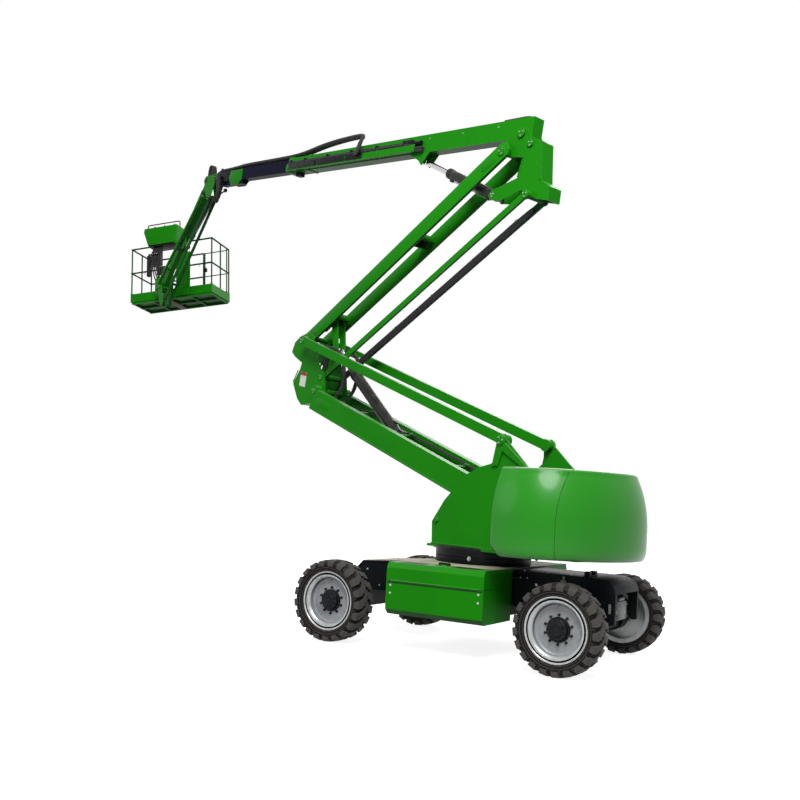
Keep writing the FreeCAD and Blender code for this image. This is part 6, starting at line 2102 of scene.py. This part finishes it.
    def _small(self, frame: Matrix) -> None:
        """Add the gate's latch, rail clamps, anchor eyes and rail feet.

        Args:
            frame: Frame of the body it rides on.
        """
        mid = self.floor + 0.61
        feet = Shape(frame)
        foot = self.floor + 0.17
        first, last = self.right + 0.016, self.left - 0.016
        third = (last - first) / 3
        for x, places in ((self.near + 0.016, (first, first + third, last - third, last)),
                (self.far - 0.016, (self.right + 0.59, last, first))):
            for y in places:
                feet.button(0.022, 0.02, 0.002, (x, y, foot), (0, 0, 1), 20)
                feet.button(0.0175, 0.03, 0.0, (x, y, mid - 0.015), (0, 0, 1), 20)
        feet.piece("rail_feet", GREEN, "platform")
        latch = Shape(frame)
        y = self.right + 0.59 - 0.035
        latch.block((self.far - 0.034, y - 0.045, mid + 0.1), (self.far - 0.001, y + 0.012, mid + 0.17),
            0.004)
        latch.rod((self.far - 0.017, y - 0.02, mid + 0.16), (self.far - 0.017, y - 0.02, mid + 0.2), 0.008)
        latch.piece("gate_latch", SATIN_BLACK, "gate")
        eyes = Shape(frame)
        for y in (self.right + 0.3, self.left - 0.3):
            eyes.turned([(-0.005, 0.016), (0.005, 0.016), (0.005, 0.026), (-0.005, 0.026)],
                (self.near + 0.045, y, mid - 0.02), (0, 1, 0), 24)
            eyes.block((self.near + 0.012, y - 0.006, mid - 0.012),
                (self.near + 0.032, y + 0.006, mid + 0.004), 0.002)
        eyes.piece("anchor_eyes", STEEL, "platform")
        panel = Shape(frame)
        x = self.near - 0.0123
        panel.bolts((x, 0.0, self.floor + 0.44), (-1, 0, 0), 0.105, 4, 0.01, 0.008, 45)
        for side in (-1, 1):
            panel.block((x - 0.012, side * 0.128 - 0.006, self.floor + 0.02),
                (x + 0.001, side * 0.128 + 0.006, self.floor + 0.62), 0.003)
        panel.block((self.near - 0.014, -0.515, self.floor + 0.005), (self.near - 0.001, -0.205, 0.745),
            0.003)
        panel.piece("mount_panel_flanges", GREEN, "platform")


# --- Studio ---------------------------------------------------------------------------------


@dataclass(frozen=True)
class Studio:
    """Floor, lights and camera of the studio.

    Attributes:
        eye: Camera place from the slewing axis on the ground.
        look: Direction of view.
        roll_deg: Turn of the camera about its own view.
        lens_mm: Focal length on a 36 mm sensor.
        rise: Vertical shift of the lens.
        lamps: Name, place, size and power of each lamp.
    """

    eye: Vector = field(default_factory=lambda: Vector((-4.767, 9.834, 1.7)))
    look: Vector = field(default_factory=lambda: Vector((0.52, -0.852, 0.063)))
    roll_deg: float = 3.2
    lens_mm: float = 41.45
    rise: float = 0.0474
    lamps: tuple[tuple[str, Point, float, float], ...] = (("key", (-5.0, 11.0, 14.0), 9.0, 3300.0),
        ("fill", (10.0, 11.0, 7.0), 8.0, 220.0), ("back", (3.0, -12.0, 10.0), 8.0, 600.0))

    def build(self, ground: Vector) -> None:
        """Create the camera, the lamps, the world and the floor.

        Args:
            ground: Point where the slewing axis meets the floor.
        """
        self._camera(ground)
        for name, place, size, power in self.lamps:
            self._lamp(name, ground + Vector(place), ground + Vector((0, 0, 3)), size, power)
        self._world()
        self._floor(ground)

    def _camera(self, ground: Vector) -> None:
        """Place the camera.

        Args:
            ground: Point on the floor under the machine.
        """
        data = bpy.data.cameras.new("camera")
        data.lens = self.lens_mm
        data.sensor_width = 36.0
        data.shift_y = self.rise
        data.clip_end = 200.0
        camera = bpy.data.objects.new("camera", data)
        bpy.context.collection.objects.link(camera)
        turn = self.look.normalized().to_track_quat("-Z", "Y").to_matrix().to_4x4()
        roll = Matrix.Rotation(math.radians(self.roll_deg), 4, "Z")
        camera.matrix_world = Matrix.Translation(ground + self.eye) @ turn @ roll
        bpy.context.scene.camera = camera

    @staticmethod
    def _lamp(name: str, place: Vector, aim: Vector, size: float, power: float) -> None:
        """Place one soft lamp.

        Args:
            name: Name of the lamp.
            place: Where it stands.
            aim: Point it looks at.
            size: Width of the lamp.
            power: Its power in watts.
        """
        data = bpy.data.lights.new(name, "AREA")
        data.shape = "DISK"
        data.size = size
        data.energy = power
        lamp = bpy.data.objects.new(name, data)
        bpy.context.collection.objects.link(lamp)
        lamp.matrix_world = Matrix.Translation(place) @ (aim - place).to_track_quat("-Z",
            "Y").to_matrix().to_4x4()

    @staticmethod
    def _seen_white(tree: Tree) -> Socket:
        """Return 1 for the rays that see a backdrop: camera, glossy and transmission rays.

        Args:
            tree: The material's node tree.

        Returns:
            1 or 0 for each ray.
        """
        total = add_node(tree, "LightPath", {}, "Is Camera Ray")
        rays = total.node.outputs
        for name in ("Is Glossy Ray", "Is Transmission Ray"):
            total = add_node(tree, "Math", {0: total, 1: rays[name]}, "Value", operation="MAXIMUM")
        return total

    def _world(self) -> None:
        """Light the scene evenly, and show white to the camera."""
        world = bpy.data.worlds.new("studio")
        bpy.context.scene.world = world
        world.use_nodes = True
        tree = world.node_tree
        background = tree.nodes["Background"]
        background.inputs["Color"].default_value = (1.0, 1.0, 1.0, 1.0)
        light = add_node(tree, "MapRange", {"Value": self._seen_white(tree), "To Min": WORLD_STRENGTH},
            "Result")
        tree.links.new(light, background.inputs["Strength"])

    def _floor(self, ground: Vector) -> None:
        """Make the white floor, which keeps the machine's shadow.

        Args:
            ground: Point on the floor under the machine.
        """
        mesh = bpy.data.meshes.new("floor")
        corners = [ground + Vector((x * FLOOR_REACH, y * FLOOR_REACH, -0.0005)) for x,
            y in ((-1, -1), (1, -1), (1, 1), (-1, 1))]
        mesh.from_pydata([tuple(point) for point in corners], [], [(0, 1, 2, 3)])
        floor = bpy.data.objects.new("floor", mesh)
        bpy.context.collection.objects.link(floor)
        material = bpy.data.materials.new("studio_floor")
        material.use_nodes = True
        tree = material.node_tree
        shader = tree.nodes["Principled BSDF"]
        shader.inputs["Roughness"].default_value = 0.9
        shader.inputs["Specular IOR Level"].default_value = 0.0
        seen = self._seen_white(tree)
        colour = add_node(tree, "Mix", {"Factor": seen, 6: (FLOOR_SHADE,) * 3 + (1.0,),
            7: (FLOOR_WHITE,) * 3 + (1.0,)}, 2, data_type="RGBA")
        tree.links.new(colour, shader.inputs["Base Color"])
        glow = add_node(tree, "MapRange", {"Value": seen, "To Max": FLOOR_GLOW}, "Result")
        shader.inputs["Emission Color"].default_value = (1.0, 1.0, 1.0, 1.0)
        tree.links.new(glow, shader.inputs["Emission Strength"])
        mesh.materials.append(material)
        floor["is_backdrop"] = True


# --- The whole machine ----------------------------------------------------------------------


def main() -> None:
    """Load the frame, dress it and report each sub-assembly."""
    logging.basicConfig(level=logging.INFO, format="%(name)s: %(message)s")
    bpy.ops.wm.read_factory_settings(use_empty=True)
    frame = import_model()
    bpy.context.scene.view_settings.view_transform = "Standard"
    layout = Layout({joint["name"]: joint for joint in frame["joints"]})
    Studio().build(layout.at("slew"))
    slots = {part["node"]: part["material_slot"] for part in frame["record"]["subparts"]}
    for name, node in frame["nodes"].items():
        dress(node, NODE_FINISH.get(name) or SLOT_FINISH.get(slots.get(name, ""), GREEN))
    wheels = [Wheel(f"{end}_{word}", side) for end in ("front", "rear") for side, word in SIDES]
    assemblies = [*wheels, Chassis(), Turntable(), Tail(), LowerArm(), MiddleKnuckle(), UpperArm(),
        CylinderTrim("riser", "riser_barrel_turn", "riser_rod_slide", 0.078, 1.32, "riser_barrel"),
        CylinderTrim("luff", "luff_barrel_turn", "luff_rod_slide", 0.062, 1.01, "luff_barrel", -1),
        CylinderTrim("jib", "jib_barrel_turn", "jib_rod_slide", 0.042, 0.94, "jib_barrel", -1), Upright(),
        Boom(), NoseAndJib(), Platform(),]
    for assembly in assemblies:
        known = len(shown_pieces())
        assembly.build(layout)
        LOG.info("%s: %d pieces", type(assembly).__name__, len(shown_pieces()) - known)


if __name__ == "__main__":
    main()
